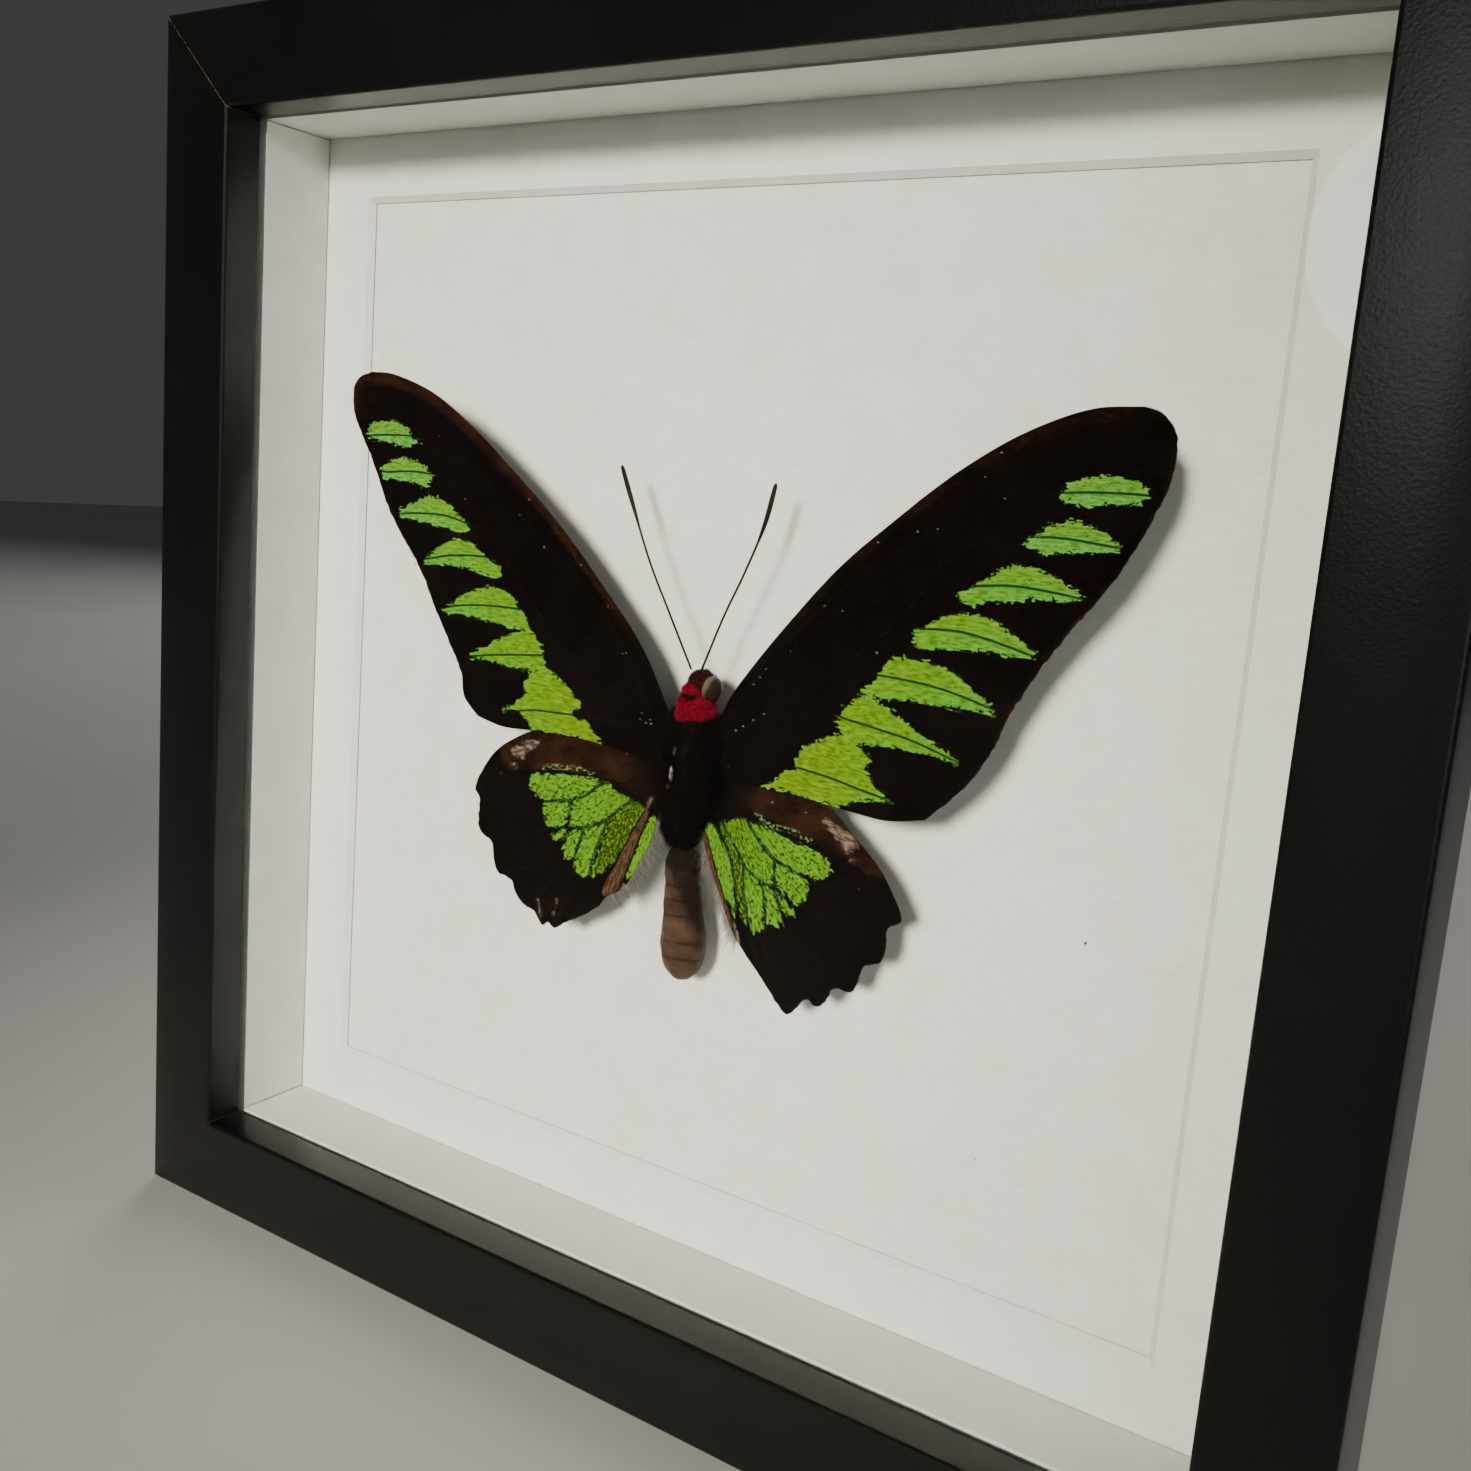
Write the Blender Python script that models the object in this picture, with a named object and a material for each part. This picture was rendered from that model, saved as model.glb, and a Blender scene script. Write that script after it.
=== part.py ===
"""A birdwing butterfly in a square black box frame with a glass front.

The frame stands on its lower rail with its front towards -Y. The origin is under
the middle of the frame. Sizes are in millimetres, measured from the middle of the
frame: x to the right, z up, and depth back from the front face of the rails.
"""

import math

import bmesh
import bpy
from mathutils import Vector

MM = 0.001

# Frame
FRAME_SIDE = 250.0
FRAME_DEPTH = 45.0
RAIL_FACE = 18.7
RAIL_WALL = 9.5
LIP_THICKNESS = 8.0
EDGE_RADIUS = 0.8
EDGE_STEPS = 3
GAP = 0.3

# Layers behind the lip
GLASS_THICKNESS = 2.0
MAT_FRONT = 26.9
MAT_THICKNESS = 1.1
MAT_WINDOW = 188.8
CARD_THICKNESS = 1.0
BOARD_THICKNESS = 3.0
LINER_SETBACK = 0.2

# Fittings on the back
TAB_WIDTH = 12.0
TAB_LENGTH = 14.0
TAB_THICKNESS = 0.5
TAB_IN_RAIL = 3.6
TAB_OFFSET = 62.0
HANGER_LENGTH = 60.0
HANGER_HEIGHT = 10.0
HANGER_THICKNESS = 1.0
HANGER_STAND_OFF = 2.2
HANGER_CENTRE = 62.0
HANGER_TOOTH = 2.5
SCREW_SPACING = 50.0
SCREW_SHANK_RADIUS = 1.0
SCREW_HEAD_RADIUS = 3.0
SCREW_DEPTH = 2.0

# Butterfly
WING_THICKNESS = 0.3
BODY_X = 2.3
WING_ROOT_DEPTH = 18.0
HINDWING_ROOT_DEPTH = 18.9

# Sizes worked out from those above
outer = FRAME_SIDE / 2
opening = outer - RAIL_FACE
rebate = outer - RAIL_WALL
sheet = rebate - GAP
glass_front = LIP_THICKNESS + GAP
glass_back = glass_front + GLASS_THICKNESS
card_front = MAT_FRONT + MAT_THICKNESS + GAP
board_front = card_front + CARD_THICKNESS + GAP
board_back = board_front + BOARD_THICKNESS
tab_front = board_back + GAP

# Wing outlines, as seen from the front. The costa runs from the root to the wing
# tip, the margin from the tip to the rear corner, the inner edge from the root to
# that corner. Slope is the rise towards the glass for each millimetre outwards.
WINGS = {
    "forewing_left": {
        "costa": [(-3.2, 0.2), (-10, 11.3), (-20, 22.2), (-30, 32), (-40, 40.2), (-50, 47.8),
                  (-60, 53.9), (-70, 57.2), (-76, 57.6)],
        "margin": [(-76, 57.6), (-79.6, 56.3), (-80.8, 53), (-80, 48.5), (-75, 40), (-70, 30.2),
                   (-62.6, 20.8), (-57, 11.4), (-51, 1.4), (-49.6, -3.6), (-46, -7.2)],
        "inner": [(-4.2, -10.6), (-12, -8.8), (-22, -8), (-33, -8.1), (-40, -8.4), (-46, -7.2)],
        "root_depth": WING_ROOT_DEPTH, "slope": 0.070, "camber": 0.5, "grid": (16, 18),
    },
    "forewing_right": {
        "costa": [(7.8, 0.2), (11, 6.2), (20, 18), (30, 29.4), (40, 38.2), (50, 46.2), (60, 52.3),
                  (70, 56.2), (78, 56.9)],
        "margin": [(78, 56.9), (82, 55), (83.5, 50.5), (82.4, 44), (77, 32.5), (70, 22.5),
                   (63.2, 11), (60.5, 4), (56, -3.4), (50, -9.5)],
        "inner": [(8.8, -10.6), (16, -10.4), (25, -10.3), (35, -10.8), (43, -11), (50, -9.5)],
        "root_depth": WING_ROOT_DEPTH, "slope": 0.066, "camber": 0.5, "grid": (16, 18),
    },
    "hindwing_left": {
        "costa": [(-4.4, -9.6), (-14, -6.6), (-24, -5.8), (-31, -7.2), (-38.4, -10.6), (-43.4, -14.4),
                  (-47, -20)],
        "margin": [(-47, -20), (-47.6, -22.4), (-46.3, -24.2), (-46.5, -28.4), (-45.8, -30.6),
                   (-42.8, -32.4), (-42, -36), (-40.6, -38.2), (-37.6, -39), (-36, -41.8),
                   (-34, -43.4), (-31.4, -44.2), (-29.5, -46.3), (-28, -45.6), (-26.2, -46.4),
                   (-23.4, -44.4), (-19.6, -42.2), (-16.4, -39.8)],
        "inner": [(-4.4, -19), (-5.6, -24.6), (-8.2, -30), (-11, -35), (-14.8, -37.6), (-16.4, -39.8)],
        "root_depth": HINDWING_ROOT_DEPTH, "slope": 0.045, "camber": 0.3, "grid": (9, 38),
    },
    "hindwing_right": {
        "costa": [(9, -9.6), (17, -8.4), (25, -8.8), (31, -11.2), (37.4, -16), (42.4, -20.4),
                  (46, -25.4)],
        "margin": [(46, -25.4), (46.7, -27.8), (44.4, -29.8), (44.3, -33.6), (43.4, -35.8),
                   (40.6, -37.2), (39.5, -41), (38.4, -42.3), (35.2, -42.5), (33.9, -45),
                   (32.4, -46.6), (29.8, -46), (27.6, -48.8), (25.6, -49.4), (20.4, -44.6),
                   (15.4, -40)],
        "inner": [(9, -19), (7, -23.6), (8.6, -28), (11, -33), (13.4, -37.4), (15.4, -40)],
        "root_depth": HINDWING_ROOT_DEPTH, "slope": 0.045, "camber": 0.3, "grid": (9, 38),
    },
}

# Body rings from front to rear: z, half width, half depth, depth of the middle.
THORAX_RINGS = [
    (-0.6, 2.2, 2.6, 19.6), (-1.6, 4.0, 4.4, 20.0), (-4, 5.0, 5.8, 20.6), (-8, 5.5, 6.7, 21.0),
    (-12, 5.5, 6.9, 21.0), (-16, 5.1, 6.5, 21.0), (-20, 4.2, 5.4, 20.8), (-23, 3.2, 4.0, 20.6),
    (-24.2, 1.8, 2.2, 20.6),
]
COLLAR_RINGS = [
    (4.5, 2.6, 2.6, 18.6), (3.7, 3.5, 3.3, 18.7), (2.3, 4.0, 3.8, 18.9), (0.8, 3.6, 3.5, 19.2),
    (-0.2, 2.4, 2.6, 19.4),
]
HEAD_RINGS = [
    (8.0, 0.8, 0.8, 18.4), (7.4, 1.8, 1.7, 18.4), (6.6, 2.4, 2.3, 18.4), (5.8, 2.4, 2.4, 18.5),
    (4.9, 1.9, 2.1, 18.5),
]
EYE_RADIUS = 1.7
EYE_OFFSET = 2.2
EYE_HEIGHT = 6.5
BODY_SIDES = 16

# The abdomen hangs back towards the card and leans a little to the left.
ABDOMEN_TOP = -24.6
ABDOMEN_TIP = -48.4
ABDOMEN_SEGMENTS = 8
ABDOMEN_RADIUS_TOP = 3.3
ABDOMEN_RADIUS_REAR = 4.3
ABDOMEN_DEPTH_TOP = 19.6
ABDOMEN_DEPTH_TIP = 21.6
ABDOMEN_LEAN = -1.1
SEGMENT_GROOVE = 0.18

# Antennae: points along each, with the shaft's and the club's radius.
ANTENNA_DEPTH = 17.8
ANTENNAE = {
    "antenna_left": [(0.9, 8.4), (-5, 18.2), (-9.8, 26.5), (-14.4, 36.4), (-17.4, 43.2)],
    "antenna_right": [(3.1, 8.6), (7, 18.6), (10.2, 25.7), (13.6, 34.4), (15.4, 42.1)],
}
ANTENNA_STEPS = 16
SHAFT_RADIUS = 0.2
CLUB_RADIUS = 0.42


def clear_scene():
    for obj in list(bpy.data.objects):
        bpy.data.objects.remove(obj, do_unlink=True)


def add_material(name, colour, roughness, metallic=0.0, transmission=0.0):
    material = bpy.data.materials.new(name)
    material.use_nodes = True
    shader = material.node_tree.nodes["Principled BSDF"]
    shader.inputs["Base Color"].default_value = (*colour, 1.0)
    shader.inputs["Roughness"].default_value = roughness
    shader.inputs["Metallic"].default_value = metallic
    shader.inputs["Transmission Weight"].default_value = transmission
    material.diffuse_color = (*colour, 1.0)
    return material


def place(x, z, depth):
    """World position of a point given in millimetres from the frame's middle and front."""
    return Vector((x, depth - FRAME_DEPTH / 2, z + outer)) * MM


def add_object(name, mesh_builder, material, smooth=False):
    """Turns a bmesh into an object with its faces pointing out."""
    bmesh.ops.recalc_face_normals(mesh_builder, faces=mesh_builder.faces)
    mesh = bpy.data.meshes.new(name)
    mesh_builder.to_mesh(mesh)
    mesh_builder.free()
    mesh.materials.append(material)
    if smooth:
        mesh.shade_smooth()
        mesh.set_sharp_from_angle(angle=math.radians(40))
    obj = bpy.data.objects.new(name, mesh)
    bpy.context.collection.objects.link(obj)
    return obj


def grow_box(mesh_builder, low, high):
    """Adds a closed box between two corners, each (x, depth, z) in metres."""
    size = high - low
    made = bmesh.ops.create_cube(mesh_builder, size=1.0)
    bmesh.ops.scale(mesh_builder, vec=size, verts=made["verts"])
    bmesh.ops.translate(mesh_builder, vec=(low + high) / 2, verts=made["verts"])


def add_box(name, x_range, z_range, depth_range, material):
    mesh_builder = bmesh.new()
    low = place(x_range[0], z_range[0], depth_range[0])
    high = place(x_range[1], z_range[1], depth_range[1])
    grow_box(mesh_builder, low, high)
    return add_object(name, mesh_builder, material)


def cut(target, cutter, operation="DIFFERENCE"):
    """Cuts the target with the cutter, or joins them, and hides the cutter."""
    cutter.hide_render = True
    cutter.display_type = "WIRE"
    boolean = target.modifiers.new("cut_" + cutter.name, "BOOLEAN")
    boolean.object = cutter
    boolean.operation = operation


def smooth_path(points, count):
    """Evenly spaced points along a smooth curve through the given ones."""
    ends = [tuple(2 * a - b for a, b in zip(points[0], points[1]))]
    tail = [tuple(2 * a - b for a, b in zip(points[-1], points[-2]))]
    chain = ends + list(points) + tail
    fine = []
    steps = 12
    for before, start, stop, after in zip(chain, chain[1:], chain[2:], chain[3:]):
        for step in range(steps):
            u = step / steps
            fine.append(Vector([
                0.5 * (2 * b + (c - a) * u + (2 * a - 5 * b + 4 * c - d) * u * u
                       + (3 * b - 3 * c + d - a) * u * u * u)
                for a, b, c, d in zip(before, start, stop, after)
            ]))
    fine.append(Vector(points[-1]))
    lengths = [0.0]
    for here, there in zip(fine, fine[1:]):
        lengths.append(lengths[-1] + (there - here).length)
    path = []
    position = 0
    for index in range(count + 1):
        wanted = lengths[-1] * index / count
        while position < len(fine) - 2 and lengths[position + 1] < wanted:
            position += 1
        span = lengths[position + 1] - lengths[position]
        path.append(fine[position].lerp(fine[position + 1], (wanted - lengths[position]) / span))
    return path


def rail_section():
    """The L section of a rail, as (distance from the frame's middle, depth)."""
    section = []
    for middle, first in ((opening + EDGE_RADIUS, 180), (outer - EDGE_RADIUS, 270)):
        for step in range(EDGE_STEPS + 1):
            angle = math.radians(first + 90 * step / EDGE_STEPS)
            section.append((middle + EDGE_RADIUS * math.cos(angle),
                            EDGE_RADIUS + EDGE_RADIUS * math.sin(angle)))
    section += [(outer, FRAME_DEPTH), (rebate, FRAME_DEPTH), (rebate, LIP_THICKNESS),
                (opening, LIP_THICKNESS)]
    return section


def add_rail(name, turn, material):
    """One mitred rail, built as the lower one and turned about the frame's middle."""
    mesh_builder = bmesh.new()
    mitre_gap = GAP / math.sqrt(2)
    section = rail_section()
    ends = []
    for side in (-1, 1):
        ends.append([
            mesh_builder.verts.new(Vector((side * (w - mitre_gap), d - FRAME_DEPTH / 2, -w)) * MM)
            for w, d in section
        ])
        mesh_builder.faces.new(ends[-1])
    for index in range(len(section)):
        nearby = (index + 1) % len(section)
        mesh_builder.faces.new((ends[0][index], ends[0][nearby], ends[1][nearby], ends[1][index]))
    rail = add_object(name, mesh_builder, material, smooth=True)
    slots = bmesh.new()
    for side in (-1, 1):
        reach = TAB_WIDTH / 2 + GAP
        low = Vector((side * TAB_OFFSET - reach, tab_front - GAP - FRAME_DEPTH / 2,
                      -rebate - TAB_IN_RAIL - GAP)) * MM
        high = Vector((side * TAB_OFFSET + reach, tab_front + TAB_THICKNESS + GAP - FRAME_DEPTH / 2,
                       -rebate + 1)) * MM
        grow_box(slots, low, high)
    cutter = add_object(name + "_slots", slots, material)
    cutter.parent = rail
    cut(rail, cutter)
    for side, label in ((-1, "1"), (1, "2")):
        tab_mesh = bmesh.new()
        low = Vector((side * TAB_OFFSET - TAB_WIDTH / 2, tab_front - FRAME_DEPTH / 2,
                      -rebate - TAB_IN_RAIL)) * MM
        high = Vector((side * TAB_OFFSET + TAB_WIDTH / 2, tab_front + TAB_THICKNESS - FRAME_DEPTH / 2,
                       -rebate - TAB_IN_RAIL + TAB_LENGTH)) * MM
        grow_box(tab_mesh, low, high)
        tab = add_object(name.replace("rail", "tab") + "_" + label, tab_mesh, steel)
        tab.parent = rail
    rail.location = (0, 0, outer * MM)
    rail.rotation_euler = (0, math.radians(turn), 0)


def add_liner(material):
    """Two full strips above and below, and two shorter ones between them."""
    inner = opening + LINER_SETBACK
    depth = (glass_back + GAP, MAT_FRONT - GAP)
    add_box("liner_top", (-sheet, sheet), (inner, sheet), depth, material)
    add_box("liner_bottom", (-sheet, sheet), (-sheet, -inner), depth, material)
    add_box("liner_left", (-sheet, -inner), (GAP - inner, inner - GAP), depth, material)
    add_box("liner_right", (inner, sheet), (GAP - inner, inner - GAP), depth, material)


def add_mat(material):
    """A sheet with a square window whose edge slopes in towards the card."""
    mesh_builder = bmesh.new()
    window = MAT_WINDOW / 2
    rings = []
    for half, depth in ((sheet, MAT_FRONT), (window, MAT_FRONT),
                        (window - MAT_THICKNESS, MAT_FRONT + MAT_THICKNESS),
                        (sheet, MAT_FRONT + MAT_THICKNESS)):
        corners = ((-half, -half), (half, -half), (half, half), (-half, half))
        rings.append([mesh_builder.verts.new(place(x, z, depth)) for x, z in corners])
    for ring, following in zip(rings, rings[1:] + rings[:1]):
        for index in range(4):
            nearby = (index + 1) % 4
            mesh_builder.faces.new((ring[index], ring[nearby], following[nearby], following[index]))
    add_object("mat_board", mesh_builder, material)


def add_rings(name, rings, sides, material):
    """A closed round body through rings of (centre, half width, half depth) stacked along Z."""
    mesh_builder = bmesh.new()
    loops = []
    for centre, half_width, half_depth in rings:
        loops.append([
            mesh_builder.verts.new(centre + Vector((half_width * math.cos(2 * math.pi * k / sides),
                                                    half_depth * math.sin(2 * math.pi * k / sides),
                                                    0)) * MM)
            for k in range(sides)
        ])
    for loop, following in zip(loops, loops[1:]):
        for k in range(sides):
            nearby = (k + 1) % sides
            mesh_builder.faces.new((loop[k], loop[nearby], following[nearby], following[k]))
    mesh_builder.faces.new(loops[0])
    mesh_builder.faces.new(loops[-1])
    return add_object(name, mesh_builder, material, smooth=True)


def add_screw_hole(target, x, radius, depth_range):
    """A round hole straight back into the target at the hanger's height."""
    hole = bmesh.new()
    bmesh.ops.create_cone(hole, cap_ends=True, segments=16, radius1=radius * MM, radius2=radius * MM,
                          depth=(depth_range[1] - depth_range[0]) * MM)
    cutter = add_object(target.name + "_hole_" + ("left" if x < 0 else "right"), hole, steel)
    cutter.location = place(x, HANGER_CENTRE, sum(depth_range) / 2)
    cutter.rotation_euler = (math.radians(90), 0, 0)
    cut(target, cutter)


def add_hanger(board):
    """A toothed steel strip that stands off the board between its two screwed ends."""
    half = HANGER_LENGTH / 2
    bend = SCREW_SPACING / 2 - 5
    profile = [(-half, 0), (-bend - 2, 0), (-bend + 2, HANGER_STAND_OFF)]
    teeth = int(2 * (bend - 4) / HANGER_TOOTH)
    for index in range(teeth + 1):
        profile.append((-bend + 4 + 2 * (bend - 4) * index / teeth, HANGER_STAND_OFF))
    profile += [(bend - 2, HANGER_STAND_OFF), (bend + 2, 0), (half, 0)]
    mesh_builder = bmesh.new()
    columns = []
    front = board_back + GAP
    first_tooth = 3
    for index, (x, rise) in enumerate(profile):
        toothed = first_tooth <= index <= first_tooth + teeth and (index - first_tooth) % 2
        bottom = HANGER_CENTRE - HANGER_HEIGHT / 2 + (1.2 if toothed else 0.0)
        top = HANGER_CENTRE + HANGER_HEIGHT / 2
        columns.append([
            mesh_builder.verts.new(place(x, z, front + rise + depth))
            for z, depth in ((bottom, 0), (top, 0), (top, HANGER_THICKNESS), (bottom, HANGER_THICKNESS))
        ])
    for column, following in zip(columns, columns[1:]):
        for k in range(4):
            nearby = (k + 1) % 4
            mesh_builder.faces.new((column[k], column[nearby], following[nearby], following[k]))
    mesh_builder.faces.new(columns[0])
    mesh_builder.faces.new(columns[-1])
    plate = add_object("hanger_plate", mesh_builder, steel)
    head_front = front + HANGER_THICKNESS + GAP
    shank = front - board_back + HANGER_THICKNESS + GAP + SCREW_DEPTH
    for side, label in ((-1, "left"), (1, "right")):
        x = side * SCREW_SPACING / 2
        add_screw_hole(plate, x, SCREW_SHANK_RADIUS + GAP, (front - 1, front + HANGER_THICKNESS + 1))
        add_screw_hole(board, x, SCREW_SHANK_RADIUS + GAP, (board_back - SCREW_DEPTH - GAP, board_back + 1))
        rings = [(-shank, SCREW_SHANK_RADIUS), (0, SCREW_SHANK_RADIUS), (0.01, SCREW_HEAD_RADIUS),
                 (0.6, SCREW_HEAD_RADIUS), (1.2, 0.8 * SCREW_HEAD_RADIUS), (1.6, 0.4 * SCREW_HEAD_RADIUS)]
        screw = add_rings("hanger_screw_" + label,
                          [(Vector((0, 0, z)) * MM, radius, radius) for z, radius in rings], 16, steel)
        screw.location = place(x, HANGER_CENTRE, head_front)
        screw.rotation_euler = (math.radians(-90), 0, 0)


def add_wing(name, wing, material):
    """A thin sheet filled in between the wing's four edges, rising from the root outwards."""
    along, across = wing["grid"]
    costa = smooth_path(wing["costa"], along)
    inner = smooth_path(wing["inner"], along)
    margin = smooth_path(wing["margin"], across)
    root = [costa[0].lerp(inner[0], k / across) for k in range(across + 1)]
    mesh_builder = bmesh.new()
    rows = []
    for j in range(along + 1):
        s = j / along
        row = []
        for k in range(across + 1):
            t = k / across
            corners = (costa[0].lerp(inner[0], t)).lerp(costa[-1].lerp(inner[-1], t), s)
            flat = costa[j].lerp(inner[j], t) + root[k].lerp(margin[k], s) - corners
            rise = wing["slope"] * abs(flat.x - BODY_X)
            bow = wing["camber"] * math.sin(math.pi * s) * math.sin(math.pi * t)
            row.append(mesh_builder.verts.new(place(flat.x, flat.y, wing["root_depth"] - rise - bow)))
        rows.append(row)
    for row, following in zip(rows, rows[1:]):
        for k in range(across):
            mesh_builder.faces.new((row[k], row[k + 1], following[k + 1], following[k]))
    sheet_object = add_object(name, mesh_builder, material, smooth=True)
    solidify = sheet_object.modifiers.new("thickness", "SOLIDIFY")
    solidify.thickness = WING_THICKNESS * MM
    solidify.offset = 0


def add_body_part(name, rings, sides, material):
    return add_rings(name, [(place(BODY_X, z, depth), half_width, half_depth)
                            for z, half_width, half_depth, depth in rings], sides, material)


def add_head(material):
    head = add_body_part("head", HEAD_RINGS, BODY_SIDES, material)
    for side, label in ((-1, "left"), (1, "right")):
        ball = bmesh.new()
        bmesh.ops.create_uvsphere(ball, u_segments=12, v_segments=8, radius=EYE_RADIUS * MM)
        eye = add_object("eye_" + label, ball, material, smooth=True)
        eye.location = place(BODY_X + side * EYE_OFFSET, EYE_HEIGHT, WING_ROOT_DEPTH + 0.2)
        cut(head, eye, "UNION")


def add_abdomen(material):
    """Rings that swell towards the rear, pinched at each joint and round at the end."""
    rings = []
    steps = 2 * ABDOMEN_SEGMENTS
    for index in range(steps + 1):
        u = index / steps
        radius = ABDOMEN_RADIUS_TOP + (ABDOMEN_RADIUS_REAR - ABDOMEN_RADIUS_TOP) * math.sin(u * math.pi * 0.62)
        if u > 0.8:
            radius *= math.sqrt(max(0.06, 1 - ((u - 0.8) / 0.2) ** 2))
        if index % 2 == 0:
            radius -= SEGMENT_GROOVE
        centre = place(BODY_X + ABDOMEN_LEAN * u, ABDOMEN_TOP + (ABDOMEN_TIP - ABDOMEN_TOP) * u,
                       ABDOMEN_DEPTH_TOP + (ABDOMEN_DEPTH_TIP - ABDOMEN_DEPTH_TOP) * u)
        rings.append((centre, radius, radius))
    add_rings("abdomen", rings, 20, material)


def add_antenna(name, points, material):
    """A thin shaft that thickens to a club at its tip."""
    curve = bpy.data.curves.new(name, "CURVE")
    curve.dimensions = "3D"
    curve.bevel_depth = SHAFT_RADIUS * MM
    curve.bevel_resolution = 2
    curve.use_fill_caps = True
    path = smooth_path(points, ANTENNA_STEPS)
    spline = curve.splines.new("POLY")
    spline.points.add(len(path) - 1)
    for index, (point, here) in enumerate(zip(spline.points, path)):
        u = index / ANTENNA_STEPS
        club = max(0.0, (u - 0.72) / 0.28)
        swell = math.sin(min(1.0, club * 1.15) * math.pi * 0.75)
        point.co = (*place(here.x, here.y, ANTENNA_DEPTH), 1)
        point.radius = 1 + (CLUB_RADIUS / SHAFT_RADIUS - 1) * swell
    curve.materials.append(material)
    antenna = bpy.data.objects.new(name, curve)
    bpy.context.collection.objects.link(antenna)


clear_scene()
black_foil = add_material("black_foil", (0.012, 0.012, 0.013), 0.35)
glass = add_material("glass", (0.95, 0.97, 0.96), 0.02, transmission=1.0)
white_liner = add_material("white_liner", (0.72, 0.71, 0.68), 0.8)
mat_card = add_material("mat_card", (0.76, 0.75, 0.72), 0.85)
backing_paper = add_material("backing_paper", (0.76, 0.75, 0.71), 0.9)
brown_board = add_material("brown_board", (0.24, 0.15, 0.08), 0.8)
steel = add_material("steel", (0.6, 0.6, 0.6), 0.35, metallic=1.0)
wing_scales = add_material("wing_scales", (0.016, 0.010, 0.008), 0.7)
body_hair = add_material("body_hair", (0.012, 0.009, 0.008), 0.8)
collar_hair = add_material("collar_hair", (0.26, 0.006, 0.022), 0.8)
head_shell = add_material("head_shell", (0.05, 0.02, 0.015), 0.5)
abdomen_shell = add_material("abdomen_shell", (0.09, 0.05, 0.035), 0.55)

for rail_name, rail_turn in (("rail_bottom", 0), ("rail_left", 90), ("rail_top", 180), ("rail_right", 270)):
    add_rail(rail_name, rail_turn, black_foil)
add_box("front_glass", (-sheet, sheet), (-sheet, sheet), (glass_front, glass_back), glass)
add_liner(white_liner)
add_mat(mat_card)
add_box("backing_card", (-sheet, sheet), (-sheet, sheet), (card_front, card_front + CARD_THICKNESS), backing_paper)
back_board = add_box("back_board", (-sheet, sheet), (-sheet, sheet), (board_front, board_back), brown_board)
add_hanger(back_board)

for wing_name, wing_shape in WINGS.items():
    add_wing(wing_name, wing_shape, wing_scales)
add_body_part("thorax", THORAX_RINGS, BODY_SIDES, body_hair)
add_body_part("collar", COLLAR_RINGS, BODY_SIDES, collar_hair)
add_head(head_shell)
add_abdomen(abdomen_shell)
for antenna_name, antenna_points in ANTENNAE.items():
    add_antenna(antenna_name, antenna_points, head_shell)
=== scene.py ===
import math
import random

import bmesh
import bpy
import numpy as np
from mathutils import Matrix, Vector, noise


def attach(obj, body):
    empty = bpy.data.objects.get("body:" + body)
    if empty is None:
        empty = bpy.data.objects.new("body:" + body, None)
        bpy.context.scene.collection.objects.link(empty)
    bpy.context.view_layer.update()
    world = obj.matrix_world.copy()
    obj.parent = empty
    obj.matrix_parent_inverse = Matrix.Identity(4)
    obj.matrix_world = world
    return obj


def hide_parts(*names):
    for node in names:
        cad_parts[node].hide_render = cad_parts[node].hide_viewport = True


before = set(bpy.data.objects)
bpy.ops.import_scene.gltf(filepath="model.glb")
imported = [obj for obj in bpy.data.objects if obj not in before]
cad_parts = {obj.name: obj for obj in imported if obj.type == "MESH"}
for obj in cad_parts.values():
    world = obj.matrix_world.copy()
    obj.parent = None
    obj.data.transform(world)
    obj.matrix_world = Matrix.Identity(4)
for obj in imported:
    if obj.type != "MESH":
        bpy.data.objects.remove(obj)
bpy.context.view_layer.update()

# A birdwing butterfly mounted in a square black box frame.
# Lengths are in millimetres: x to the right and z up from the middle of the frame,
# depth back from its front face. place() turns them into the frame's own metres.
mm = 0.001
frameSize = {
    "side": 250.0,
    "depth": 45.0,
    "railFace": 18.7,      # width of the front face of a rail
    "railWall": 9.5,       # its wall behind the lip
    "lip": 8.0,
}
half = frameSize["side"] / 2
opening = half - frameSize["railFace"]
rebate = half - frameSize["railWall"]
bodyX = 2.3
random.seed(41)
dice = np.random.default_rng(41)


def place(x, depth, z):
    return Vector((x, depth - frameSize["depth"] / 2, z + half)) * mm


def placeAll(points):
    # the same for an array of (x, depth, z)
    points = np.asarray(points, float)
    return np.column_stack([points[:, 0], points[:, 1] - frameSize["depth"] / 2, points[:, 2] + half]) * mm


def deselectAll():
    if bpy.context.mode != "OBJECT":
        bpy.ops.object.mode_set(mode="OBJECT")
    bpy.ops.object.select_all(action="DESELECT")


def only(piece):
    deselectAll()
    piece.select_set(True)
    bpy.context.view_layer.objects.active = piece


def named(name):
    piece = bpy.context.active_object
    piece.name = piece.data.name = name
    return piece


def editMode(piece, kind="FACE"):
    only(piece)
    bpy.ops.object.mode_set(mode="EDIT")
    bpy.ops.mesh.select_mode(type=kind)


def pickFaces(piece, test):
    # selects the faces whose middle and normal pass the test
    bpy.ops.mesh.select_mode(type="FACE")
    bpy.ops.mesh.select_all(action="DESELECT")
    mesh = bmesh.from_edit_mesh(piece.data)
    for face in mesh.faces:
        if test(face.calc_center_median(), face.normal):
            face.select_set(True)
    bmesh.update_edit_mesh(piece.data)


def pickEdges(piece, test):
    # selects the edges whose two ends pass the test
    bpy.ops.mesh.select_mode(type="EDGE")
    bpy.ops.mesh.select_all(action="DESELECT")
    mesh = bmesh.from_edit_mesh(piece.data)
    for edge in mesh.edges:
        if test(edge.verts[0].co, edge.verts[1].co):
            edge.select_set(True)
    bmesh.update_edit_mesh(piece.data)


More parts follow.
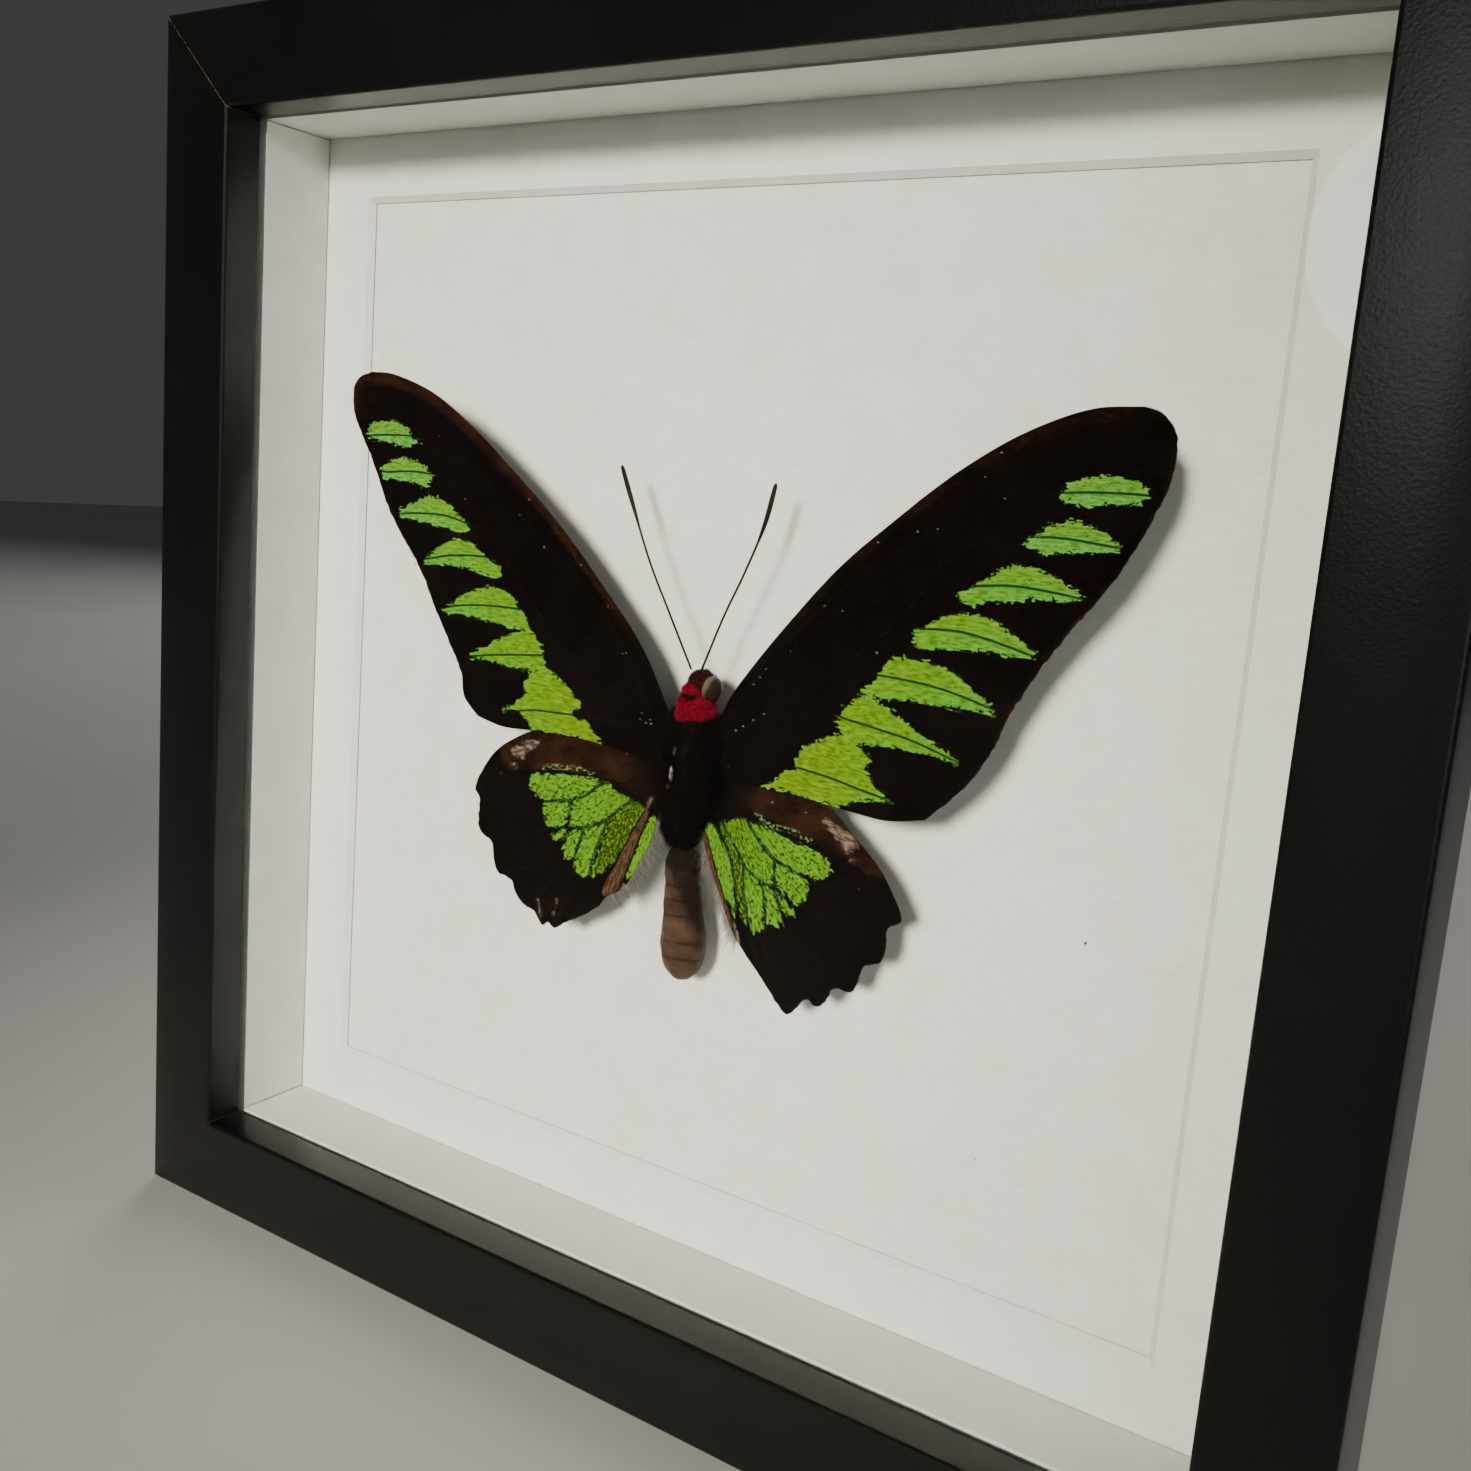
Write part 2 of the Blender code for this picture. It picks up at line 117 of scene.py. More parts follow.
def applyAll(piece):
    only(piece)
    for modifier in list(piece.modifiers):
        bpy.ops.object.modifier_apply(modifier=modifier.name)


def settle(piece, nodes=(), smoothAngle=35):
    # origin to the frame's own, smooth faces, then it rides on the frame
    only(piece)
    bpy.ops.object.transform_apply(location=True, rotation=True, scale=True)
    bpy.ops.object.shade_smooth_by_angle(angle=math.radians(smoothAngle))
    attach(piece, "root")
    if nodes:
        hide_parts(*nodes)
    return piece


def makeBox(name, xRange, depthRange, zRange):
    deselectAll()
    middle = place(sum(xRange) / 2, sum(depthRange) / 2, sum(zRange) / 2)
    bpy.ops.mesh.primitive_cube_add(size=1, location=middle)
    piece = named(name)
    piece.scale = [(b - a) * mm for a, b in (xRange, depthRange, zRange)]
    bpy.ops.object.transform_apply(location=True, rotation=True, scale=True)
    return piece


def copyOf(piece, name, matrix):
    # a copy with its own mesh, moved by the matrix
    only(piece)
    bpy.ops.object.duplicate()
    copy = named(name)
    copy.data.transform(matrix)
    return copy


def cutAway(piece, cutter):
    cut = piece.modifiers.new("cut", "BOOLEAN")
    cut.object = cutter
    applyAll(piece)
    bpy.data.objects.remove(cutter, do_unlink=True)


def dress(piece, material):
    piece.data.materials.clear()
    piece.data.materials.append(material)


def putAttribute(piece, name, values, kind="FLOAT"):
    attribute = piece.data.attributes.new(name, kind, "POINT")
    field = "vector" if kind == "FLOAT_VECTOR" else "value"
    attribute.data.foreach_set(field, np.asarray(values, np.float32).ravel())


# Shader helpers: each returns the socket that the next node takes

def addNode(tree, kind, inputs=None, **options):
    node = tree.nodes.new("ShaderNode" + kind)
    for option, value in options.items():
        setattr(node, option, value)
    for key, value in (inputs or {}).items():
        if isinstance(value, bpy.types.NodeSocket):
            tree.links.new(value, node.inputs[key])
        else:
            node.inputs[key].default_value = value
    return node


def calc(tree, operation, first, second=0.0, third=0.0, clamp=False):
    inputs = {0: first, 1: second, 2: third}
    return addNode(tree, "Math", inputs, operation=operation, use_clamp=clamp).outputs[0]


def times(tree, first, second):
    return calc(tree, "MULTIPLY", first, second)


def total(tree, first, *others):
    for other in others:
        first = calc(tree, "ADD", first, other)
    return first


def wave(tree, value, reach):
    # a noise value about its middle, spread over this reach
    return times(tree, calc(tree, "SUBTRACT", value, 0.5), reach)


def blend(tree, factor, first, second):
    return addNode(tree, "Mix", {0: factor, 6: first, 7: second}, data_type="RGBA").outputs[2]


def tint(tree, color, mask, strength, other):
    # lays another colour over this one where the mask is high
    return blend(tree, times(tree, mask, strength), color, other)


def fade(tree, value, low, high):
    # 0 below low, 1 above high, smooth between them; low may be above high
    flip = low > high
    node = addNode(tree, "MapRange", {
        "Value": value, "From Min": min(low, high), "From Max": max(low, high),
        "To Min": 1.0 if flip else 0.0, "To Max": 0.0 if flip else 1.0}, interpolation_type="SMOOTHSTEP")
    return node.outputs["Result"]


def noiseOf(tree, coords, scale, stretch=(1, 1, 1), detail=3.0, roughness=0.5, output="Fac"):
    vector = coords
    if tuple(stretch) != (1, 1, 1):
        vector = addNode(tree, "Mapping", {"Vector": coords, "Scale": stretch}).outputs[0]
    return addNode(tree, "TexNoise", {"Vector": vector, "Scale": scale, "Detail": detail,
                                      "Roughness": roughness}).outputs[output]


def cellsOf(tree, coords, scale, output="Color"):
    return addNode(tree, "TexVoronoi", {"Vector": coords, "Scale": scale}).outputs[output]


def attributeOf(tree, name, output="Fac"):
    return addNode(tree, "Attribute", attribute_name=name).outputs[output]


def objectCoords(tree):
    return addNode(tree, "TexCoord").outputs["Object"]


def bump(tree, height, distance, strength=1.0, normal=None):
    inputs = {"Height": height, "Distance": distance, "Strength": strength}
    if normal is not None:
        inputs["Normal"] = normal
    return addNode(tree, "Bump", inputs).outputs["Normal"]


def newMaterial(name, constants):
    # a material with these fixed values on its shader's own sockets
    material = bpy.data.materials.new(name)
    material.use_nodes = True
    shader = material.node_tree.nodes["Principled BSDF"]
    for socket, value in constants.items():
        shader.inputs[socket].default_value = value
    return material, material.node_tree, shader


def finishWith(tree, shader, color=None, roughness=None, normal=None):
    for socket, value in (("Base Color", color), ("Roughness", roughness), ("Normal", normal)):
        if value is not None:
            tree.links.new(value, shader.inputs[socket])


def newGroup(name, inputs, outputs):
    # an empty node group with named inputs and outputs
    group = bpy.data.node_groups.new(name, "ShaderNodeTree")
    for label, kind, value in inputs:
        socket = group.interface.new_socket(label, in_out="INPUT", socket_type=kind)
        socket.default_value = value
    for label, kind in outputs:
        group.interface.new_socket(label, in_out="OUTPUT", socket_type=kind)
    return group, group.nodes.new("NodeGroupInput").outputs, group.nodes.new("NodeGroupOutput").inputs


def useGroup(tree, group, inputs):
    return addNode(tree, "Group", inputs, node_tree=group).outputs


# Paper tooth: the soft uneven face of card and foam sheet
paperTooth, given, result = newGroup(
    "paperTooth",
    [("Scale", "NodeSocketFloat", 900.0), ("Across", "NodeSocketFloat", 1.0),
     ("Mottle", "NodeSocketFloat", 0.5)],
    [("Height", "NodeSocketFloat"), ("Shade", "NodeSocketFloat")])
coords = objectCoords(paperTooth)
spread = addNode(paperTooth, "CombineXYZ", {"X": given["Across"], "Y": 1.0, "Z": 1.0}).outputs[0]
spread = addNode(paperTooth, "VectorMath", {0: coords, 1: spread}, operation="MULTIPLY").outputs[0]
fibre = addNode(paperTooth, "TexNoise", {"Vector": spread, "Scale": given["Scale"], "Detail": 4.0}).outputs[0]
lumps = noiseOf(paperTooth, coords, 120.0, detail=2.0)
paperTooth.links.new(calc(paperTooth, "MULTIPLY_ADD", lumps, given["Mottle"], fibre), result["Height"])
shade = calc(paperTooth, "MULTIPLY_ADD", lumps, 0.5, times(paperTooth, fibre, 0.5))
paperTooth.links.new(shade, result["Shade"])

# Dust: fine specks, thicker where a face looks up
dustFilm, given, result = newGroup(
    "dustFilm",
    [("Amount", "NodeSocketFloat", 0.3), ("Scale", "NodeSocketFloat", 2500.0)],
    [("Mask", "NodeSocketFloat")])
coords = objectCoords(dustFilm)
normal = addNode(dustFilm, "NewGeometry").outputs["Normal"]
upward = addNode(dustFilm, "SeparateXYZ", {0: normal}).outputs["Z"]
upward = calc(dustFilm, "MULTIPLY_ADD", upward, 0.6, 0.4, clamp=True)
grit = addNode(dustFilm, "TexVoronoi", {"Vector": coords, "Scale": given["Scale"]}).outputs["Distance"]
grit = fade(dustFilm, grit, 0.28, 0.08)
cloud = fade(dustFilm, noiseOf(dustFilm, coords, 70.0), 0.42, 0.7)
dust = times(dustFilm, times(dustFilm, grit, cloud), upward)
dustFilm.links.new(times(dustFilm, dust, given["Amount"]), result["Mask"])

# Fine grain: small bump and shade for boards, foil and shell
fineGrain, given, result = newGroup(
    "fineGrain",
    [("Vector", "NodeSocketVector", (0, 0, 0)), ("Scale", "NodeSocketFloat", 1500.0),
     ("Contrast", "NodeSocketFloat", 1.0)],
    [("Height", "NodeSocketFloat"), ("Shade", "NodeSocketFloat")])
placed = {"Vector": given["Vector"], "Scale": given["Scale"]}
pits = addNode(fineGrain, "TexVoronoi", placed).outputs["Distance"]
coarse = addNode(fineGrain, "TexNoise", {**placed, "Detail": 5.0, "Roughness": 0.65}).outputs["Fac"]
fineGrain.links.new(total(fineGrain, coarse, times(fineGrain, pits, 0.4)), result["Height"])
centred = calc(fineGrain, "SUBTRACT", coarse, 0.5)
shade = calc(fineGrain, "MULTIPLY_ADD", centred, given["Contrast"], 0.5, clamp=True)
fineGrain.links.new(shade, result["Shade"])
print("shader groups ready")


# Materials of the frame and the sheets

def foilMaterial():
    look = {
        "color": (0.0028, 0.0028, 0.0028, 1),
        "colorLight": (0.0045, 0.0044, 0.0044, 1),
        # lighter colour of the rounded edges: worn foil and a painted highlight
        "wornAndHighlight": (0.022, 0.021, 0.020, 1),
        "dust": (0.05, 0.047, 0.044, 1),
        "grainScale": 1700.0,
    }
    material, tree, shader = newMaterial("blackFoil", {"Specular IOR Level": 0.34})
    coords = objectCoords(tree)
    grain = useGroup(tree, fineGrain, {"Vector": coords, "Scale": look["grainScale"], "Contrast": 0.6})
    cloud = noiseOf(tree, coords, 25.0, detail=4.0)
    color = blend(tree, fade(tree, cloud, 0.3, 0.8), look["color"], look["colorLight"])
    # rounded edges painted lighter: partly worn foil, partly a painted edge highlight
    rubbed = fade(tree, noiseOf(tree, coords, 900.0), 0.5, 0.7)
    color = tint(tree, color, times(tree, attributeOf(tree, "wearAndHighlight"), rubbed), 0.35, look["wornAndHighlight"])
    dust = useGroup(tree, dustFilm, {"Amount": 0.02, "Scale": 1500.0})["Mask"]
    color = blend(tree, dust, color, look["dust"])
    rough = calc(tree, "MULTIPLY_ADD", grain["Shade"], 0.12, 0.24)
    rough = calc(tree, "MULTIPLY_ADD", dust, 0.3, rough)
    finishWith(tree, shader, color, rough, bump(tree, grain["Height"], 0.00005, 0.6))
    return material


def fibreboardMaterial():
    look = {"dark": (0.20, 0.13, 0.075, 1), "light": (0.42, 0.30, 0.19, 1)}
    material, tree, shader = newMaterial("rawFibreboard", {"Roughness": 0.9})
    grain = useGroup(tree, fineGrain, {"Vector": objectCoords(tree), "Scale": 1800.0, "Contrast": 1.6})
    color = blend(tree, grain["Shade"], look["dark"], look["light"])
    finishWith(tree, shader, color, None, bump(tree, grain["Height"], 0.0001, 0.6))
    return material


sheetLooks = {
    # dark and light colour, scale of the tooth, its stretch across, its depth, then dark specks at (x, z, radius)
    "linerWhite": ((0.70, 0.695, 0.665, 1), (0.77, 0.765, 0.735, 1), 1600.0, 1.0, 0.00003, []),
    "matWhite": ((0.72, 0.71, 0.68, 1), (0.78, 0.775, 0.745, 1), 1300.0, 1.0, 0.00005, []),
    "cardWhite": ((0.70, 0.69, 0.65, 1), (0.78, 0.77, 0.735, 1), 1000.0, 0.30, 0.00015,
                  [(74.5, -27.5, 0.32), (60.0, -70.0, 0.16)]),
    "speck": (0.05, 0.04, 0.03, 1),
}


def speckAt(tree, color, x, z, radius):
    # a small dark bit on a sheet
    coords = objectCoords(tree)
    ragged = noiseOf(tree, coords, 2500.0, detail=1.0)
    middle = place(x, frameSize["depth"] / 2, z)
    away = addNode(tree, "VectorMath", {0: coords, 1: middle}, operation="SUBTRACT").outputs[0]
    flat = addNode(tree, "VectorMath", {0: away, 1: (1, 0, 1)}, operation="MULTIPLY").outputs[0]
    length = addNode(tree, "VectorMath", {0: flat}, operation="LENGTH").outputs["Value"]
    length = calc(tree, "MULTIPLY_ADD", ragged, radius * mm, length)
    return blend(tree, fade(tree, length, radius * 1.5 * mm, radius * 1.1 * mm), color, sheetLooks["speck"])


def paperMaterial(name):
    # white card: a faint mottle in its colour and a fine tooth in its face
    dark, light, scale, across, depth, specks = sheetLooks[name]
    material, tree, shader = newMaterial(name, {"Roughness": 0.9, "Specular IOR Level": 0.25})
    tooth = useGroup(tree, paperTooth, {"Scale": scale, "Across": across, "Mottle": 0.6})
    color = blend(tree, fade(tree, tooth["Shade"], 0.3, 0.7), dark, light)
    for speck in specks:
        color = speckAt(tree, color, *speck)
    finishWith(tree, shader, color, None, bump(tree, tooth["Height"], depth, 0.5))
    return material


def glassMaterial():
    # clear sheet; light for the shadows inside the box passes straight through
    material, tree, shader = newMaterial("clearGlass", {
        "Base Color": (0.985, 0.995, 0.99, 1), "Roughness": 0.0, "IOR": 1.18, "Transmission Weight": 1.0})
    path = addNode(tree, "LightPath").outputs
    clear = addNode(tree, "BsdfTransparent", {"Color": (0.97, 0.98, 0.975, 1)}).outputs[0]
    through = calc(tree, "MAXIMUM", path["Is Shadow Ray"], path["Is Diffuse Ray"])
    mixed = addNode(tree, "MixShader", {0: through, 1: shader.outputs[0], 2: clear}).outputs[0]
    tree.links.new(mixed, tree.nodes["Material Output"].inputs["Surface"])
    return material


def boardMaterial():
    # hardboard: smooth brown face with dark flecks
    look = {
        "dark": (0.13, 0.075, 0.038, 1),
        "light": (0.23, 0.145, 0.078, 1),
        "fleck": (0.05, 0.028, 0.015, 1),
        "patch": (0.27, 0.18, 0.10, 1),
        "dust": (0.4, 0.37, 0.33, 1),
    }
    material, tree, shader = newMaterial("hardboard", {"Specular IOR Level": 0.3})
    coords = objectCoords(tree)
    grain = useGroup(tree, fineGrain, {"Vector": coords, "Scale": 700.0, "Contrast": 1.4})
    color = blend(tree, grain["Shade"], look["dark"], look["light"])
    fleck = fade(tree, noiseOf(tree, coords, 1400.0, (1, 1, 0.35), detail=2.0), 0.66, 0.74)
    color = tint(tree, color, fleck, 0.7, look["fleck"])
    color = tint(tree, color, noiseOf(tree, coords, 14.0), 0.35, look["patch"])
    dust = useGroup(tree, dustFilm, {"Amount": 0.4, "Scale": 1500.0})["Mask"]
    color = blend(tree, dust, color, look["dust"])
    rough = calc(tree, "MULTIPLY_ADD", grain["Shade"], 0.2, 0.5)
    finishWith(tree, shader, color, rough, bump(tree, grain["Height"], 0.00006, 0.5))
    return material


def steelMaterial():
    look = {"dark": (0.42, 0.41, 0.40, 1), "light": (0.62, 0.61, 0.59, 1), "stain": (0.30, 0.25, 0.20, 1)}
    material, tree, shader = newMaterial("brushedSteel", {"Metallic": 1.0})
    coords = objectCoords(tree)
    lines = noiseOf(tree, coords, 1500.0, (0.06, 1, 1), detail=4.0)
    stain = fade(tree, noiseOf(tree, coords, 160.0), 0.45, 0.75)
    color = tint(tree, blend(tree, lines, look["dark"], look["light"]), stain, 0.5, look["stain"])
    rough = calc(tree, "MULTIPLY_ADD", stain, 0.22, 0.28)
    finishWith(tree, shader, color, rough, bump(tree, lines, 0.00003, 0.4))
    return material


blackFoil = foilMaterial()
rawFibreboard = fibreboardMaterial()
brushedSteel = steelMaterial()
linerWhite = paperMaterial("linerWhite")
dressed = {
    "front_glass": glassMaterial(), "mat_board": paperMaterial("matWhite"),
    "backing_card": paperMaterial("cardWhite"), "back_board": boardMaterial(),
    "liner_top": linerWhite, "liner_bottom": linerWhite, "liner_left": linerWhite, "liner_right": linerWhite,
}
for nodeName, material in dressed.items():
    dress(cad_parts[nodeName], material)
print("sheets and glass dressed")


# Rails: one is modelled below the opening, and the others are turned copies
railShape = {
    "edgeRadius": 0.8,
    "edgeSteps": 4,
    "rearRadius": 0.35,
    "mitreGap": 0.09,      # each end stands back this far from the mitre
    "slotX": 62.0,         # middle of a slot for a retaining tab
    "slotHalf": 6.3,
    "slotReach": 3.9,
    "slotDepth": (32.6, 33.7),
}


def pickLongEdges(piece, y):
    # the edges along a rail at this depth
    pickEdges(piece, lambda a, b: abs(a.x - b.x) > 0.2 and abs(a.y - y) < 1e-5)


def makeRail():
    shape = railShape
    reach = half + 5
    rail = makeBox("railBottom", (-reach, reach), (0, frameSize["lip"]), (-half, -opening))
    editMode(rail)
    bpy.ops.mesh.select_all(action="SELECT")
    bpy.ops.mesh.bisect(plane_co=place(0, 0, -rebate), plane_no=(0, 0, 1))
    wallZ = place(0, 0, -rebate).z
    pickFaces(rail, lambda middle, normal: normal.y > 0.9 and middle.z < wallZ)
    wallDepth = (frameSize["depth"] - frameSize["lip"]) * mm
    bpy.ops.mesh.extrude_region_move(TRANSFORM_OT_translate={"value": (0, wallDepth, 0)})
    frontY = place(0, 0, 0).y
    pickLongEdges(rail, frontY)
    bpy.ops.mesh.bevel(offset=shape["edgeRadius"] * mm, segments=shape["edgeSteps"], affect="EDGES")
    pickLongEdges(rail, place(0, frameSize["depth"], 0).y)
    bpy.ops.mesh.bevel(offset=shape["rearRadius"] * mm, segments=2, affect="EDGES")
    mitre = half - shape["mitreGap"]
    for side in (-1, 1):
        bpy.ops.mesh.select_all(action="SELECT")
        bpy.ops.mesh.bisect(plane_co=place(side * mitre, 0, -half), plane_no=(side, 0, 1),
                            use_fill=True, clear_outer=True)
    bpy.ops.object.mode_set(mode="OBJECT")
    for x in (-shape["slotX"], shape["slotX"]):
        cutter = makeBox("slotCutter", (x - shape["slotHalf"], x + shape["slotHalf"]), shape["slotDepth"],
                         (-rebate - shape["slotReach"], -rebate + 1))
        cutAway(rail, cutter)
    rail.data.materials.clear()
    rail.data.materials.append(blackFoil)
    rail.data.materials.append(rawFibreboard)
    for face in rail.data.polygons:      # the sawn ends show the bare board
        face.material_index = 1 if abs(face.normal.x) > 0.5 and abs(face.normal.z) > 0.5 else 0
    # marks the rounded edges, which get worn foil and a painted highlight
    low = place(0, shape["edgeRadius"], 0).y - 1e-5      # only the rounded edges, not the flat front
    putAttribute(rail, "wearAndHighlight", [frontY + 1e-5 < v.co.y < low for v in rail.data.vertices])
    return rail


middleOfFrame = Matrix.Translation(place(0, frameSize["depth"] / 2, 0))


def turnedAround(angle):
    return middleOfFrame @ Matrix.Rotation(math.radians(angle), 4, "Y") @ middleOfFrame.inverted()


railBottom = makeRail()
rails = [(railBottom, "rail_bottom")]
for side, angle in (("Left", 90), ("Top", 180), ("Right", 270)):
    rails.append((copyOf(railBottom, "rail" + side, turnedAround(angle)), "rail_" + side.lower()))
for rail, nodeName in rails:
    settle(rail, [nodeName])
print("four rails done")


# Fittings on the back: tabs, toothed hanger and its two screws
fittings = {
    "tabDepth": (32.9, 33.4),
    "tabWidth": 12.0,
    "tabLength": 14.0,
    "tabRadius": 1.6,
    "tabInSlot": 3.6,
    "tabCreases": (1.2, 2.2),      # where lines are cut across a tab, from the rebate inwards
    "hangerZ": 62.0,
    "hangerHeight": 10.0,
    "hangerLength": 60.0,
    "hangerFront": 32.9,
    "hangerThickness": 1.0,
    "hangerStep": (18.0, 22.0),      # between these the plate steps off the board
    "standOff": 2.2,
    "teeth": 12,
    "teethReach": 16.0,
    "toothDepth": 1.2,
    "holeRadius": 1.3,
    "screwX": 25.0,
    "screwRadius": 3.0,
    "screwShank": 1.0,
    "screwLength": 3.4,
    "screwFront": 34.2,
    "screwDome": [(0.45, 0.93), (0.35, 0.86), (0.22, 0.75), (0.08, 0.5)],      # rise and shrink of each ring
    "screwCross": (20, 110),
}


def makeTab():
    size = fittings
    x = railShape["slotX"]
    low = -rebate - size["tabInSlot"]
    tab = makeBox("tab", (x - size["tabWidth"] / 2, x + size["tabWidth"] / 2), size["tabDepth"],
                  (low, low + size["tabLength"]))
    editMode(tab, "EDGE")
    topZ = place(0, 0, low + size["tabLength"]).z
    pickEdges(tab, lambda a, b: abs(a.y - b.y) > 1e-4 and abs(a.z - topZ) < 1e-5)
    bpy.ops.mesh.bevel(offset=size["tabRadius"] * mm, segments=5, affect="EDGES")
    for crease in size["tabCreases"]:
        bpy.ops.mesh.select_all(action="SELECT")
        bpy.ops.mesh.bisect(plane_co=place(0, 0, -rebate + crease), plane_no=(0, 0, 1))
    bpy.ops.object.mode_set(mode="OBJECT")
    edges = tab.modifiers.new("edges", "BEVEL")
    edges.width = 0.08 * mm
    edges.segments = 2
    applyAll(tab)
    return tab


tab = makeTab()
tabs = []
for angle, side in ((0, "bottom"), (90, "left"), (180, "top"), (270, "right")):
    for shift, label in ((-2 * railShape["slotX"], "1"), (0, "2")):
        move = turnedAround(angle) @ Matrix.Translation((shift * mm, 0, 0))
        tabs.append((copyOf(tab, "tab" + side.capitalize() + label, move), "tab_" + side + "_" + label))
bpy.data.objects.remove(tab, do_unlink=True)
for piece, nodeName in tabs:
    dress(piece, brushedSteel)
    settle(piece, [nodeName], 50)


def makeHanger():
    size = fittings
    reach, height = size["hangerLength"] / 2, size["hangerHeight"]
    front, span = size["hangerFront"], size["teethReach"]
    inner, outer = size["hangerStep"]
    plate = makeBox("hangerPlate", (-reach, reach), (front, front + size["hangerThickness"]),
                    (size["hangerZ"] - height / 2, size["hangerZ"] + height / 2))
    step = span / size["teeth"]
    cuts = [-outer, -inner, inner, outer] + [-span + step * k for k in range(2 * size["teeth"] + 1)]
    editMode(plate)
    for x in cuts:
        bpy.ops.mesh.select_all(action="SELECT")
        bpy.ops.mesh.bisect(plane_co=place(x, 0, 0), plane_no=(1, 0, 0))
    bpy.ops.object.mode_set(mode="OBJECT")
    middleZ = place(0, 0, size["hangerZ"]).z
    for v in plate.data.vertices:       # the middle stands off the board, and its lower edge is toothed
        x = v.co.x / mm
        v.co.y += min(1.0, max(0.0, (outer - abs(x)) / (outer - inner))) * size["standOff"] * mm
        if abs(x) < span + 0.1 and v.co.z < middleZ and round((x + span) / step) % 2:
            v.co.z += size["toothDepth"] * mm
    for x in (-size["screwX"], size["screwX"]):
        deselectAll()
        bpy.ops.mesh.primitive_cylinder_add(vertices=32, radius=size["holeRadius"] * mm, depth=6 * mm,
                                            location=place(x, front, size["hangerZ"]),
                                            rotation=(math.pi / 2, 0, 0))
        cutAway(plate, named("hangerHole"))
    edges = plate.modifiers.new("edges", "BEVEL")
    edges.width = 0.12 * mm
    edges.segments = 2
    edges.angle_limit = math.radians(40)
    edges.limit_method = "ANGLE"
    applyAll(plate)
    dress(plate, brushedSteel)
    return plate


def makeScrew(x, name):
    # a domed head with a cross recess, on its shank
    size = fittings
    front, z = size["screwFront"], size["hangerZ"]
    deselectAll()
    bpy.ops.mesh.primitive_cylinder_add(vertices=40, radius=size["screwRadius"] * mm, depth=0.5 * mm,
                                        location=place(x, front + 0.25, z), rotation=(math.pi / 2, 0, 0))
    screw = named(name)
    bpy.ops.object.transform_apply(location=True, rotation=True, scale=True)
    centre = place(x, 0, z)

    def onAxis(middle):
        return math.hypot(middle.x - centre.x, middle.z - centre.z) < 1e-5

    editMode(screw)
    for rise, ratio in size["screwDome"]:
        pickFaces(screw, lambda middle, normal: normal.y > 0.9 and onAxis(middle))
        bpy.ops.mesh.extrude_region_move(TRANSFORM_OT_translate={"value": (0, rise * mm, 0)})
        bpy.ops.transform.resize(value=(ratio, 1, ratio), center_override=(centre.x, 0, centre.z))
    pickFaces(screw, lambda middle, normal: normal.y < -0.9 and onAxis(middle))
    bpy.ops.mesh.inset(thickness=(size["screwRadius"] - size["screwShank"]) * mm)
    bpy.ops.mesh.extrude_region_move(TRANSFORM_OT_translate={"value": (0, -size["screwLength"] * mm, 0)})
    bpy.ops.object.mode_set(mode="OBJECT")
    for turn in size["screwCross"]:
        blade = makeBox("slotBlade", (-1.5, 1.5), (0, 2), (-0.25, 0.25))
        blade.data.transform(Matrix.Translation(-place(0, 0, 0)))
        blade.data.transform(Matrix.Translation(place(x, front + 1.0, z))
                             @ Matrix.Rotation(math.radians(turn), 4, "Y"))
        cutAway(screw, blade)
    dress(screw, brushedSteel)
    return screw


settle(makeHanger(), ["hanger_plate"], 30)
settle(makeScrew(-fittings["screwX"], "hangerScrewLeft"), ["hanger_screw_left"], 30)
settle(makeScrew(fittings["screwX"], "hangerScrewRight"), ["hanger_screw_right"], 30)
print("back fittings done")


# Plane geometry for the wings, in millimetres

def smoothPath(points, count=None, closed=False):
    # evenly spaced points along a smooth curve through the given ones
    points = np.array(points, float)
    if closed:
        chain = np.vstack([points[-1:], points, points[:2]])
    else:
        chain = np.vstack([2 * points[0] - points[1], points, 2 * points[-1] - points[-2]])
    u = np.linspace(0, 1, 12, endpoint=False)[:, None]
    parts = [0.5 * (2 * b + (c - a) * u + (2 * a - 5 * b + 4 * c - d) * u ** 2
                    + (3 * b - 3 * c + d - a) * u ** 3)
             for a, b, c, d in zip(chain, chain[1:], chain[2:], chain[3:])]
    fine = np.vstack(parts + [chain[-2:-1]])
    lengths = np.concatenate([[0], np.cumsum(np.linalg.norm(np.diff(fine, axis=0), axis=1))])
    if count is None:
        count = max(8, int(lengths[-1] / 0.5))
    wanted = np.linspace(0, lengths[-1], count + 1)
    return np.column_stack([np.interp(wanted, lengths, fine[:, k]) for k in (0, 1)])


def lineDistance(points, line):
    # distance of each point from an open line
    best = np.full(len(points), 1e9)
    for a, b in zip(line, line[1:]):
        along = b - a
        share = np.clip(((points - a) @ along) / max(along @ along, 1e-12), 0, 1)
        best = np.minimum(best, np.linalg.norm(points - a - share[:, None] * along, axis=1))
    return best


def areaDistance(points, outline):
    # distance from an outline, above zero inside it
    ring = smoothPath(outline, closed=True)
    inside = np.zeros(len(points), bool)
    for (ax, az), (bx, bz) in zip(ring, np.roll(ring, -1, axis=0)):
        crosses = (az > points[:, 1]) != (bz > points[:, 1])
        if crosses.any():
            inside ^= crosses & (points[:, 0] < (bx - ax) * (points[:, 1] - az) / (bz - az + 1e-12) + ax)
    return np.where(inside, 1, -1) * lineDistance(points, np.vstack([ring, ring[:1]]))


def ease(value, low, high):
    t = np.clip((value - low) / (high - low), 0, 1)
    return t * t * (3 - 2 * t)


